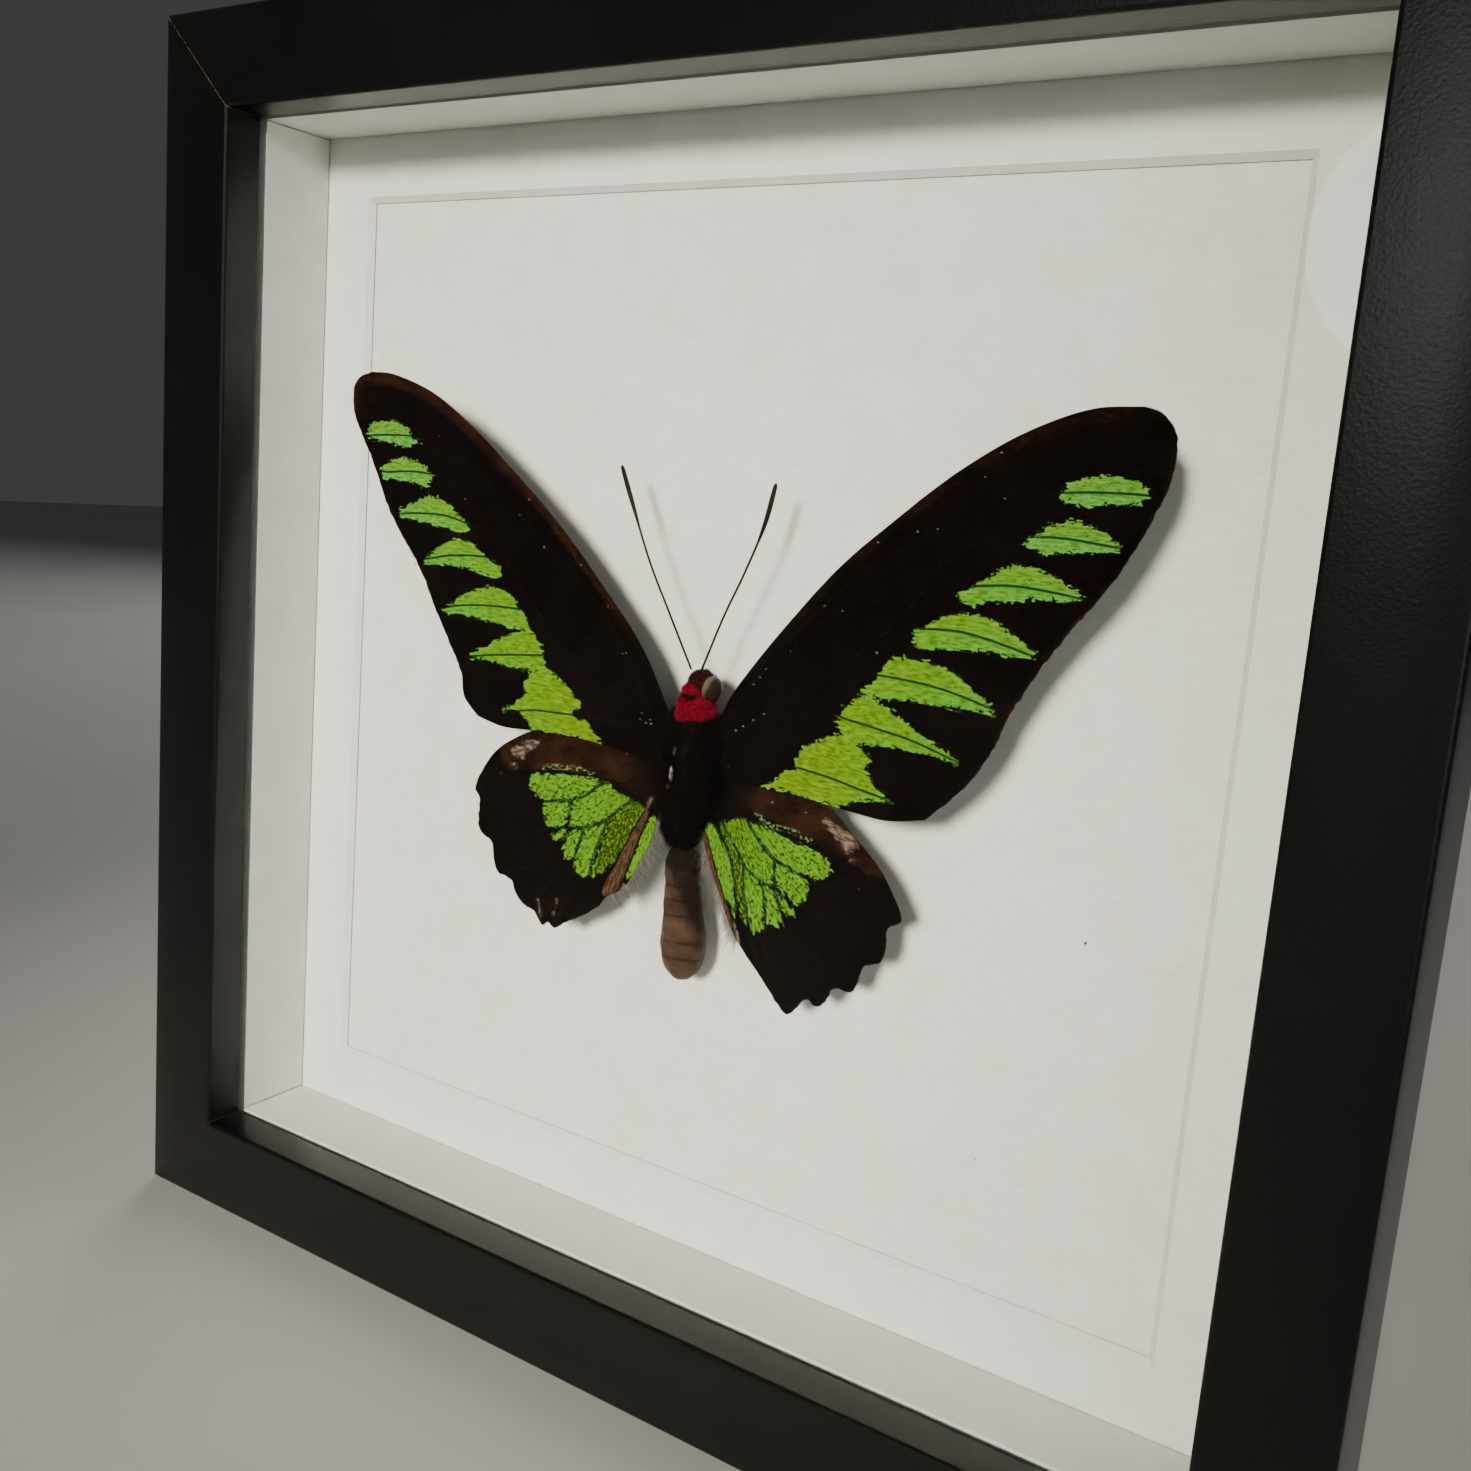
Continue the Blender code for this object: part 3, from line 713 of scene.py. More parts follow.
# Wings. Outlines and markings are given as seen from the front.
forewingLeft = {
    "name": "forewingLeft", "node": "forewing_left", "cells": (250, 150),
    # the brown of the costa and the tip is raised on this wing to paint the sheen on it
    "rootDepth": 18.0, "slope": 0.070, "camber": 0.5, "brownBandAndSheen": 0.9,
    "costa": [(-3.2, 0.2), (-10, 11.3), (-20, 22.2), (-30, 32), (-40, 40.2), (-50, 47.8), (-60, 53.9),
              (-70, 57.2), (-76, 57.6)],
    "margin": [(-76, 57.6), (-79.6, 56.3), (-80.8, 53), (-80, 48.5), (-75, 40), (-70, 30.2), (-62.6, 20.8),
               (-57, 11.4), (-51, 1.4), (-49.6, -3.6), (-46, -7.2)],
    "inner": [(-4.2, -10.6), (-12, -8.8), (-22, -8), (-33, -8.1), (-40, -8.4), (-46, -7.2)],
    "green": [
        [(-76.5, 46), (-76, 47.2), (-74.7, 48), (-72, 48.2), (-69.3, 48.1), (-67.3, 47.7), (-66.3, 46.8),
         (-65.1, 45.5), (-62.8, 44.7), (-64.7, 44.3), (-66.3, 43.4), (-69, 43.9), (-72.7, 44.4), (-75.7, 44.7)],
        [(-72.7, 38.2), (-71.7, 39.7), (-69.7, 40.8), (-67.3, 41.3), (-64.7, 41.1), (-62, 40.1), (-60.3, 39),
         (-59.7, 37.9), (-60.3, 36.8), (-61.7, 36.1), (-64, 36.7), (-67.3, 37), (-70, 37.1), (-72, 36.9)],
        [(-68, 30.5), (-66.3, 31.7), (-64, 32.8), (-61.7, 33.9), (-59, 34.3), (-56.7, 33.7), (-54.7, 32.7),
         (-53, 31.7), (-51.3, 30.3), (-49.9, 29), (-51, 28.1), (-53, 28), (-54.7, 28.5), (-57.3, 28.8),
         (-60.7, 29.1), (-64, 29.5), (-66.7, 29.7)],
        [(-61, 21.7), (-59.3, 23.3), (-57.7, 24.5), (-55.3, 25.9), (-52.7, 26.7), (-50.7, 26.6), (-48.7, 25.9),
         (-46.7, 24.7), (-45.7, 23.9), (-44, 23.1), (-42.3, 22.3), (-42.1, 21.3), (-42.8, 20.2), (-44.7, 20.4),
         (-47.3, 20.7), (-50.7, 21.3), (-54, 21.5), (-57.3, 21.3), (-60, 21.1)],
        [(-55.5, 12.3), (-53.7, 13.9), (-52, 15.3), (-50, 16.3), (-47.3, 17.5), (-44.7, 18.2), (-41.3, 18.1),
         (-39.3, 17.2), (-38, 16), (-37.7, 15), (-36, 14.3), (-35.5, 13), (-34.7, 12), (-35, 11.2),
         (-37.3, 11), (-40.7, 11.3), (-44, 11.7), (-48, 12), (-52, 12.1), (-54.3, 11.9)],
        [(-48.7, 4.1), (-46.7, 5.7), (-44.7, 6.8), (-42, 8.3), (-39.3, 9.5), (-37.3, 10.3), (-35.3, 11.5),
         (-34, 10.8), (-32.7, 9.7), (-31.7, 8.7), (-31, 7), (-30.5, 5.7), (-30.1, 4.1), (-30.7, 3.3),
         (-34.7, 3.3), (-37.3, 3.5), (-40.7, 3.8), (-44, 4.1), (-46.7, 4), (-48.3, 3.9)],
        [(-31.3, 4.1), (-28.7, 3.7), (-26.7, 2.3), (-24.7, 1.2), (-23.7, 0), (-22, -1), (-23, -2.3),
         (-24, -3.7), (-21.3, -4.3), (-19.7, -5.3), (-19, -6.3), (-17.1, -7.9), (-20, -8.1), (-22.7, -7.9),
         (-26.7, -7.7), (-30.7, -7.8), (-32.7, -7.9), (-34.3, -6.3), (-36, -5), (-38, -4.8), (-40.3, -5),
         (-38, -4), (-36.7, -3), (-35.7, -1.9), (-34.7, -1), (-35.3, 0.9), (-34.3, 2), (-33.3, 3),
         (-32.3, 3.7)],
    ],
    "patchVeins": [      # the dark line along each green mark, carried on to the cell and the margin
        [(-55, 42.5), (-60, 44), (-64.7, 45.5), (-70, 45.6), (-76, 45.2), (-78.6, 45)],
        [(-50, 36.5), (-56, 38.2), (-61, 38.7), (-66, 38.8), (-71.3, 38.3), (-74.6, 38.6)],
        [(-47, 28.5), (-52, 30.2), (-57, 31), (-64.7, 30.7), (-70, 30)],
        [(-41.5, 22.5), (-45.7, 23.9), (-54, 23.4), (-58.7, 22.5), (-63.5, 21.5)],
        [(-32, 14.2), (-37.7, 14.8), (-46.7, 14.5), (-54, 13.5), (-58, 12.5)],
        [(-21, 7.2), (-25, 7.6), (-30.7, 6.8), (-41.3, 5.5), (-47.7, 4.5), (-52.5, 3.9)],
        [(-11, -3.4), (-17, -3.6), (-24, -3.7), (-32, -4), (-37.3, -4.9), (-46, -6)],
    ],
    "veins": [
        [(-7, 0.5), (-10, 5), (-13, 9.5), (-16, 13.5), (-18.5, 17), (-24, 22), (-30, 26.5), (-38, 32.5),
         (-44, 36.5), (-50, 40.5), (-56, 45.5), (-62, 49), (-66, 50.5), (-72, 51.7), (-77, 51.9)],
        [(-12, 11.5), (-20, 20), (-30, 30.2), (-40, 38.2), (-50, 45.8), (-60, 51.3), (-66, 54), (-73, 55.8),
         (-78, 56)],
        [(-6.5, -2.5), (-12, 0.5), (-15.5, 3), (-20, 5.3), (-24, 8), (-28, 11), (-31, 13.5), (-34, 16),
         (-38, 20.3), (-43, 26), (-47, 32), (-50, 38.5), (-50.5, 41)],
        [(-49, 40.3), (-53, 41.8), (-55, 42.5)],
        [(-58, 46.8), (-66, 48.3), (-74, 48.9), (-79.6, 48.6)],
    ],
    "pale": [],
}
forewingRight = {
    "name": "forewingRight", "node": "forewing_right", "cells": (250, 150),
    "rootDepth": 18.0, "slope": 0.066, "camber": 0.5, "brownBandAndSheen": 0.4,
    "costa": [(7.8, 0.2), (11, 6.2), (20, 18), (30, 29.4), (40, 38.2), (50, 46.2), (60, 52.3), (70, 56.2),
              (78, 56.9)],
    "margin": [(78, 56.9), (80.7, 56.1), (82.7, 54.0), (83.5, 50.5), (82.4, 44), (77, 32.5), (70, 22.5),
               (63.2, 11), (60.5, 4), (56, -3.4), (50, -9.5)],
    "inner": [(8.8, -10.6), (16, -10.4), (25, -10.3), (35, -10.8), (43, -11), (50, -9.5)],
    "green": [
        [(66.9, 43.5), (67.9, 44.5), (68.7, 45.7), (70.7, 46.3), (73, 46.8), (75, 46.8), (77, 46.7),
         (78.7, 46.3), (79.7, 45.3), (80.2, 44.1), (79.3, 43.2), (77.3, 43), (74.7, 42.9), (72, 42.3),
         (70.7, 42.1), (68.7, 42.5), (67.7, 43.1)],
        [(62, 35.9), (63.3, 37), (64.7, 38.1), (65.7, 39), (67.3, 39.5), (69, 39.9), (70.7, 39.9),
         (72.3, 39.3), (74, 38.9), (75.3, 38.1), (76.7, 37.3), (77.1, 36.7), (76.5, 36), (74.3, 35.8),
         (71.3, 35.5), (68, 35.2), (65.7, 34.8), (64, 35.5), (62.7, 35.7)],
        [(51.9, 27.3), (53.3, 28), (54.8, 29), (56.7, 30.1), (58, 31.2), (60, 32.2), (62, 32.7), (64, 32.6),
         (66, 32), (68, 31.2), (70, 30.3), (71.7, 29.5), (72.1, 29), (71.3, 28.5), (69.3, 28.1),
         (66.7, 28.1), (63.3, 27.5), (60, 27), (57.3, 26.7), (54.7, 25.7), (53.3, 26.3)],
        [(45, 19.7), (45.3, 20.8), (46.7, 21.2), (47.7, 22), (49.3, 23.1), (51.7, 24.1), (54.7, 24.5),
         (57.3, 24.3), (59.7, 23.3), (62, 22), (64.3, 20.7), (66, 19.7), (65.3, 19), (63.3, 18.8),
         (60, 18.9), (56.7, 18.9), (53.3, 18.7), (49.3, 18.3), (46, 18)],
        [(36.3, 8.9), (37.3, 10.3), (38.7, 11.7), (39.3, 13), (40, 14), (41, 15.3), (42.7, 16), (45.3, 16),
         (48.7, 16), (51.3, 15.3), (54, 14), (56, 12.7), (58, 11.5), (60, 10.5), (60, 9.7), (58, 9.5),
         (54.7, 9.5), (50.7, 9.3), (46.7, 9.5), (42.7, 9.2), (40, 8.9)],
        [(32.7, 5.3), (33.3, 6.1), (34.7, 7.3), (36, 8.7), (38.3, 8.9), (40, 8.1), (42.7, 7), (45.3, 5.7),
         (46.7, 4.8), (49.3, 3.7), (52, 2.5), (55, 1), (53.3, 0.9), (50, 1.3), (46.7, 1.3), (43.3, 1.3),
         (40, 1.2), (37.3, 0.9), (35.3, 0.3), (33.3, 2), (32.3, 3.3)],
        [(18, -10), (20, -9), (21.3, -7.7), (23, -6.3), (25, -5.9), (24.5, -4.3), (25, -3), (26, -1.7),
         (28, -0.7), (30, 0.5), (32, 1.5), (34, 2), (36, 1), (37.3, 0), (39.3, -1.5), (38.3, -3),
         (39.3, -4.3), (40, -5.7), (42, -6.7), (43.9, -7.5), (40, -8.2), (37.3, -8.7), (35.3, -10),
         (33.3, -10.5), (30, -10.3), (26.7, -10.1), (23.3, -9.9)],
    ],
    "patchVeins": [
        [(50, 40.5), (55, 42.5), (60, 43.3), (67.5, 44), (73.3, 44.4), (79.5, 44.5), (82.2, 44.2)],
        [(48, 32.5), (54, 35.5), (60, 36.9), (64, 37.2), (69.3, 37.3), (79, 36.5)],
        [(45, 26.3), (50, 27.8), (55.3, 28.9), (61.3, 29.5), (68, 29.2), (75, 28.4)],
        [(39, 19.3), (43, 20.6), (46.7, 21.2), (53.3, 21.5), (60, 20.5), (65.5, 19.3), (69, 18.5)],
        [(31, 12), (35, 12.8), (39.7, 12.7), (46.7, 12.5), (52, 11.9), (58, 10.7), (62.5, 9.5)],
        [(24, 6.5), (28, 5.8), (32.7, 4.8), (40, 3.9), (46.7, 3), (54, 1.2), (58.5, 0.3)],
        [(13, -5), (18, -5.2), (25, -5.3), (32, -5.9), (37.3, -6.7), (43.3, -7.5), (50, -8.4)],
    ],
    "veins": [
        [(9.5, 0), (11.5, 3), (15, 8), (19, 13), (23, 17.5), (28, 22.8), (33, 27.5), (38, 31), (44, 35.5),
         (50, 40), (56, 44), (62, 47.5), (68, 49.3), (74, 51), (80, 51.3)],
        [(12, 7), (20, 16.3), (30, 27.4), (40, 36.4), (50, 44.2), (60, 50.2), (70, 54), (78, 55)],
        [(9, -3), (13, -1), (17, 2.2), (20, 4.2), (25, 7.2), (30, 11), (34, 14.5), (38, 18), (42, 22),
         (46, 27), (48.5, 33), (50, 40)],
        [(57, 44.8), (64, 47), (72, 48.2), (82.8, 47.6)],
    ],
    "pale": [],
}
hindwingLeft = {
    "name": "hindwingLeft", "node": "hindwing_left", "cells": (190, 190),
    "rootDepth": 18.9, "slope": 0.045, "camber": 0.3, "base": (-6, -12),
    "costa": [(-4.4, -9.6), (-14, -6.6), (-24, -5.8), (-31, -7.2), (-38.4, -10.6), (-43.4, -14.4), (-47, -20)],
    "margin": [(-47, -20), (-47.6, -22.4), (-46.3, -24.2), (-46.5, -28.4), (-45.8, -30.6), (-42.8, -32.4),
               (-42, -36), (-40.6, -38.2), (-37.6, -39), (-36, -41.8), (-34, -43.4), (-31.4, -44.2),
               (-29.5, -46.3), (-28, -45.6), (-26.2, -46.4), (-23.4, -44.4), (-19.6, -42.2), (-16.4, -39.8)],
    "inner": [(-4.4, -19), (-5.6, -24.6), (-8.2, -30), (-11, -35), (-14.8, -37.6), (-16.4, -39.8)],
    "green": [
        [(-34, -19.2), (-33.8, -17.1), (-31.3, -16.5), (-24.9, -15.7), (-18.1, -15.6), (-20.1, -17.9),
         (-23.5, -19.9), (-26.7, -20.8), (-30.8, -21.5), (-32.6, -20.8)],
        [(-22.6, -20.2), (-19.5, -18), (-17.2, -16), (-15.4, -15.8), (-14.5, -16.9), (-10.4, -18),
         (-12.4, -19.6), (-15.4, -22.2), (-18.1, -23.7), (-20.4, -24.9), (-23.5, -25.3), (-24, -24.2),
         (-24, -22.4)],
        [(-30.1, -22.1), (-26.7, -21), (-24.2, -20.6), (-24.7, -22.8), (-24.9, -24.9), (-26.7, -26),
         (-29.2, -26.5), (-29.9, -25.1), (-30.8, -23.7)],
        [(-28.1, -28.3), (-26.7, -27.1), (-24.9, -26), (-24.7, -26.7), (-25.4, -27.8), (-26.5, -28.7),
         (-27.6, -28.7)],
        [(-24.9, -31.9), (-25.1, -29.2), (-24, -26.9), (-22.6, -26), (-20.8, -25.8), (-21.3, -27.4),
         (-22.2, -29.6), (-22.6, -31), (-24.5, -32.1)],
        [(-22.2, -33.3), (-22.4, -31.5), (-21.3, -27.8), (-20.1, -25.3), (-17.6, -24.2), (-15.8, -23),
         (-15.4, -23.3), (-16.5, -26.5), (-17.6, -29.6), (-18.5, -32.4), (-19, -33.7), (-20.4, -34.9),
         (-21.7, -34.2)],
        [(-5.8, -20.3), (-4.5, -21.5), (-5.1, -24.2), (-7.2, -28.7), (-9, -31.9), (-10.1, -33.5),
         (-10.4, -32.4), (-9.7, -29.2), (-8.5, -26.5), (-7.2, -22.8)],
    ],
    "speckled": [[(-18.3, -34.2), (-18.1, -32.4), (-16.3, -27.4), (-14.9, -22.8), (-12.2, -19.6), (-10.4, -18.3),
                  (-7.6, -19.2), (-9.2, -21.9), (-10.8, -25.5), (-13.1, -29.9), (-14.9, -31.9), (-16.7, -33.3)]],
    "veins": [
        [(-30.5, -21.8), (-36, -22.6), (-42, -24.2), (-46.3, -26)],
        [(-29, -27), (-34, -29.4), (-39, -31.4), (-45, -31.2)],
        [(-26.5, -29.5), (-30.5, -33), (-35, -36.6), (-40.6, -38.2)],
        [(-23.5, -32.5), (-27, -36.5), (-30.6, -41.5), (-33, -43.6)],
        [(-20.8, -35), (-24, -38.5), (-27, -42), (-29.5, -46)],
        [(-18.4, -34.4), (-20.6, -37.4), (-23.5, -41), (-26.2, -46)],
    ],
    "cellVeins": [
        [(-14.6, -14.6), (-16.8, -15.7), (-18.8, -17.3), (-21.2, -19.2), (-23.6, -20.3), (-24.3, -22.6),
         (-24.3, -25.4)],
        [(-23.6, -20.3), (-26.7, -20.9), (-30.4, -21.8), (-34, -21.7)],
        [(-24.3, -25.4), (-26.7, -26.5), (-29.6, -27.6)],
        [(-24.3, -25.4), (-24.7, -27.4), (-25.8, -30)],
        [(-24.3, -25.4), (-22.8, -25.5), (-20.4, -25.2), (-18, -24), (-15.5, -22.7), (-12.9, -20),
         (-10.6, -18.3), (-8, -17)],
        [(-20.6, -25.4), (-21.4, -27.8), (-22.4, -31), (-23, -33.5)],
        [(-15.5, -22.7), (-16.2, -25), (-17.5, -28.5), (-18.7, -32.6), (-19.3, -35)],
    ],
    "brown": [(-3, -8), (-12, -4), (-24, -4), (-33, -6.5), (-40, -10), (-42, -14), (-40, -17), (-35, -16.5),
              (-28, -15.2), (-20, -14.9), (-14, -15.2), (-9, -17), (-4, -18)],
    "pale": [
        [(-39.2, -12.8), (-38.3, -12.4), (-35.8, -11.2), (-34, -10.3), (-31.7, -10.2), (-33.3, -11),
         (-34, -12.1), (-35.8, -12.8), (-35.8, -14), (-37.2, -14.4), (-38.3, -14.2)],
        [(-39, -15.7), (-38, -15.4), (-37.5, -16.1), (-38.6, -16.4)],
        [(-30.6, -41.8), (-30.45, -41.8), (-29.9, -44.4), (-30.05, -44.6)],
        [(-26.0, -41.0), (-25.9, -41.0), (-26.85, -43.6), (-26.95, -43.6)],
        [(-5.6, -16.2), (-6.2, -17.9), (-7.2, -19.6), (-7, -18.2), (-6.2, -16.4)],
        [(-11.9, -35.2), (-11, -34.3), (-10.3, -34.6), (-11.3, -35.7)],
    ],
    "fold": ([(-7.2, -19.6), (-10.4, -25.5), (-13.1, -31.5), (-15.1, -35.1), (-15.6, -37.4)],
             [(-6.7, -20.1), (-8.5, -25.1), (-10.1, -30.1), (-11.3, -33.3), (-13.1, -36.5)]),
    "sparkle": [(-31.3, -15.3), (-28.5, -14.6), (-24.9, -14.3), (-22.2, -14.1), (-19.5, -14.4)],
}
hindwingRight = {
    "name": "hindwingRight", "node": "hindwing_right", "cells": (190, 190),
    "rootDepth": 18.9, "slope": 0.045, "camber": 0.3, "base": (9, -12),
    "costa": [(9, -9.6), (17, -8.4), (25, -8.8), (31, -11.2), (37.4, -16), (42.4, -20.4), (46, -25.4)],
    "margin": [(46, -25.4), (46.7, -27.8), (44.4, -29.8), (44.3, -33.6), (43.4, -35.8), (40.6, -37.2),
               (39.5, -41), (38.4, -42.3), (35.2, -42.5), (33.9, -45), (32.4, -46.6), (29.8, -46),
               (27.6, -48.8), (25.6, -49.4), (20.4, -44.6), (15.4, -40)],
    "inner": [(5.2, -18.4), (5.5, -21.6), (7.2, -26.2), (10.0, -31.4), (13.1, -37.2), (15.4, -40)],
    "green": [
        [(15.5, -17.4), (18.2, -17.4), (20.9, -17.9), (25, -18.8), (29.1, -19.4), (31.4, -20.2),
         (32.5, -21.7), (32, -23), (30.9, -24), (29.1, -24.2), (27.3, -24), (24.5, -23.3), (21.4, -22.4),
         (19.1, -20.5), (16.8, -18.7)],
        [(12.3, -17.4), (14.5, -16.9), (15.5, -17.8), (17.7, -20.1), (19.5, -21.9), (20.9, -22.8),
         (21.4, -24.6), (21.6, -26.9), (20, -27.1), (18.2, -26.9), (15.9, -25.5), (14.5, -24.2),
         (12.7, -21.9), (10.9, -19.6), (10, -18.5)],
        [(21.8, -22.8), (24.5, -23.7), (26.8, -24.4), (28.2, -25.5), (28.6, -26.9), (28, -28.7),
         (26.8, -29.4), (25.5, -29), (23.6, -27.8), (22.3, -26.9), (21.8, -25.1)],
        [(22, -28.3), (23.6, -29), (25, -30.1), (26.4, -31.2), (25.7, -31.9), (24.1, -31.5), (23, -30.1)],
        [(18.9, -27.6), (20.7, -28), (21.8, -29.2), (22.7, -31), (23.6, -32.8), (23.2, -34.2),
         (21.8, -34.4), (20.5, -33.3), (20.2, -31.5), (19.8, -29.6)],
        [(14.8, -24.9), (16.8, -26), (18.2, -27.4), (19.1, -28.7), (20, -31.5), (20.2, -35.5),
         (19.1, -36.5), (18, -36.9), (17.5, -35.1), (16.4, -32.4), (15.2, -29.6), (14.8, -26.9)],
        [(6.1, -19.2), (7.3, -19.2), (8.6, -20.5), (10.5, -22.8), (11.8, -24.6), (12.7, -26.9),
         (13.4, -30.1), (13.6, -34.6), (13, -33.3), (11.4, -31.9), (10, -29.2), (8.6, -26), (6.8, -22.8),
         (5.7, -20.5)],
    ],
    "speckled": [[(9.1, -18.5), (10.9, -20.1), (13.2, -22.8), (14.3, -25.1), (15, -28.7), (15.9, -32.4),
                  (16.8, -35.5), (16.1, -35.5), (14.5, -32.8), (13.6, -29.6), (12.7, -26), (11.4, -22.8),
                  (9.8, -20.1)]],
    "veins": [
        [(30, -24.6), (35, -26), (40, -28.6), (44.4, -30.8)],
        [(28, -29.4), (33, -32.4), (38, -35), (43, -36)],
        [(25.6, -32.2), (30, -36.6), (34, -40), (38.6, -42)],
        [(22.6, -34.8), (26, -38.6), (29.6, -42.6), (32.4, -46)],
        [(19, -37.2), (21.4, -40.6), (24, -44.6), (27, -48.6)],
        [(16.4, -36.4), (17.6, -39), (19, -41.6), (21, -44.8)],
    ],
    "cellVeins": [
        [(12.6, -15.4), (14.8, -16.9), (16.4, -18.8), (18.4, -20.6), (21.2, -22.6), (21.6, -24.8), (21.9, -27.1)],
        [(21.2, -22.6), (24.5, -23.5), (27.1, -24.3), (30.4, -25)],
        [(21.9, -27.1), (23.4, -28.4), (25.2, -29.5), (27.4, -30.4)],
        [(21.9, -27.6), (22.8, -30.2), (24.2, -32.8)],
        [(21.9, -27.1), (20, -27.4), (17.6, -26.6), (15.2, -25.2), (13.6, -23), (11, -19.9), (8.6, -17.4)],
        [(19.1, -27.6), (20, -30.6), (20.4, -33.5), (20.6, -36)],
        [(15.0, -25.2), (15.1, -28), (15.8, -31.6), (17.2, -36)],
        [(8.6, -19.3), (11, -22.7), (12.6, -26.2), (13.6, -30), (14.2, -34.5)],
    ],
    "brown": [(4, -8), (12, -6), (24, -6), (33, -9), (39, -14), (43, -20), (41, -21.5), (36, -19.8),
              (30, -18), (24, -16.8), (17, -15.6), (12, -16.4), (6, -17)],
    "pale": [
        [(30, -13.5), (32.7, -14), (35.5, -15.1), (37.5, -16.2), (37.3, -17.1), (35.5, -18), (33.6, -16.9),
         (31.8, -15.3)],
        [(36.1, -19.3), (36.6, -19.2), (36.7, -19.7), (36.2, -19.8)],
        [(13.4, -36.2), (14, -36.4), (15.4, -39.2), (15, -39.6), (14, -38)],
    ],
    "fold": ([(6.3, -21.5), (8.6, -27), (11.4, -32.4), (13.4, -36)],
             [(5.6, -22), (7.6, -28), (10.4, -33), (12.8, -37)]),
    "sparkle": [(16.8, -15.3), (19.5, -16.7), (22.7, -16.9), (25.5, -17.1), (28.2, -17.9)],
}


class WingPlane:
    # the curved sheet of one wing, filled in between its four edges

    def __init__(self, wing):
        self.wing = wing
        fine = 600
        self.costa = smoothPath(wing["costa"], fine)
        self.inner = smoothPath(wing["inner"], fine)
        self.margin = smoothPath(wing["margin"], fine)
        ragged = np.array([[noise.noise(Vector((p[0] * 0.9, p[1] * 0.9, 3.0))),
                            noise.noise(Vector((p[0] * 0.9, p[1] * 0.9, 8.0)))] for p in self.margin])
        taper = ease(np.linspace(0, 1, fine + 1), 0.02, 0.1) * ease(np.linspace(1, 0, fine + 1), 0.0, 0.06)
        self.margin += 0.28 * ragged * taper[:, None]
        self.steps = np.linspace(0, 1, fine + 1)

    def along(self, path, share):
        return np.column_stack([np.interp(share, self.steps, path[:, k]) for k in (0, 1)])

    def flat(self, s, t):
        # s from the root to the margin, t from the costa to the inner edge
        a, b = s[:, None], t[:, None]
        root = self.costa[0] * (1 - b) + self.inner[0] * b
        ends = root * (1 - a) + (self.costa[-1] * (1 - b) + self.inner[-1] * b) * a
        return (self.along(self.costa, s) * (1 - b) + self.along(self.inner, s) * b
                + root * (1 - a) + self.along(self.margin, t) * a - ends)

    def depthAt(self, flat, s, t):
        wing = self.wing
        rise = wing["slope"] * np.abs(flat[:, 0] - bodyX)
        return wing["rootDepth"] - rise - wing["camber"] * np.sin(math.pi * s) * np.sin(math.pi * t)


wingShape = {
    "thickness": 0.24,
    "foreRidge": 0.09,       # height of the raised veins
    "hindRidge": 0.06,
    "ridgeWidth": 0.38,
    "costaRidge": 0.10,      # the thicker front edge
    "costaWidth": 0.7,
    "foldRise": 0.45,        # the fold that stands up on the left hindwing
    "ripple": 0.16,
}


def areasDistance(points, outlines):
    return np.max([areaDistance(points, ring) for ring in outlines], axis=0)


def linesDistance(points, lines):
    return np.min([lineDistance(points, smoothPath(line)) for line in lines], axis=0)


def markEnds(wing, flat):
    # high near the two ends of each green mark, where its teeth are longest
    x, z = flat.T
    ends = np.full(len(flat), 0.32)
    for ring in wing["green"]:
        ring = np.array(ring)
        low, high = ring[:, 0].min(), ring[:, 0].max()
        near = np.abs(z - ring[:, 1].mean()) < np.ptp(ring[:, 1]) / 2 + 1
        near &= (x > low - 1.5) & (x < high + 1.5)
        gap = np.minimum(x - low, high - x)
        ends = np.where(near, np.maximum(ends, 1 - ease(gap, 0.3, 2.4)), ends)
    return ends


def forewingFields(wing, flat, fields, front, rim):
    # each green mark is parted by its dark line; the costa and the tip are brown, with painted sheen on the left
    # forewing
    x, z = flat.T
    reach = np.abs(x - bodyX)
    best = np.full(len(flat), 1e9)
    side, nerve = np.zeros(len(flat)), np.full(len(flat), 9.0)
    for number, line in enumerate(wing["patchVeins"]):
        path = smoothPath(line)
        away = lineDistance(flat, path)
        order = np.argsort(path[:, 0])
        above = z - np.interp(x, path[order, 0], path[order, 1])
        side = np.where(away < best, above, side)
        nerve = np.where(away < best, away * np.sign(above) * (-1) ** number, nerve)
        best = np.minimum(best, away)
    band = 1 - ease(front, 0.3 + 0.010 * reach, 1.8 + 0.024 * reach)
    brown = wing["brownBandAndSheen"] * band * ease(reach, 6, 22)
    brown = np.maximum(brown, 0.8 * wing["brownBandAndSheen"] * (1 - ease(rim, 0.4, 3.2)) * ease(z, 42, 52))
    fields["brown"] = np.maximum(brown, 0.6 * (1 - ease(rim, 0.1, 0.8)))
    fields["side"], fields["nerve"] = side, nerve
    fields["tone"] = 1 - np.clip((reach - 22) / 55, 0, 1)
    return np.column_stack([x, z, np.zeros(len(flat))])


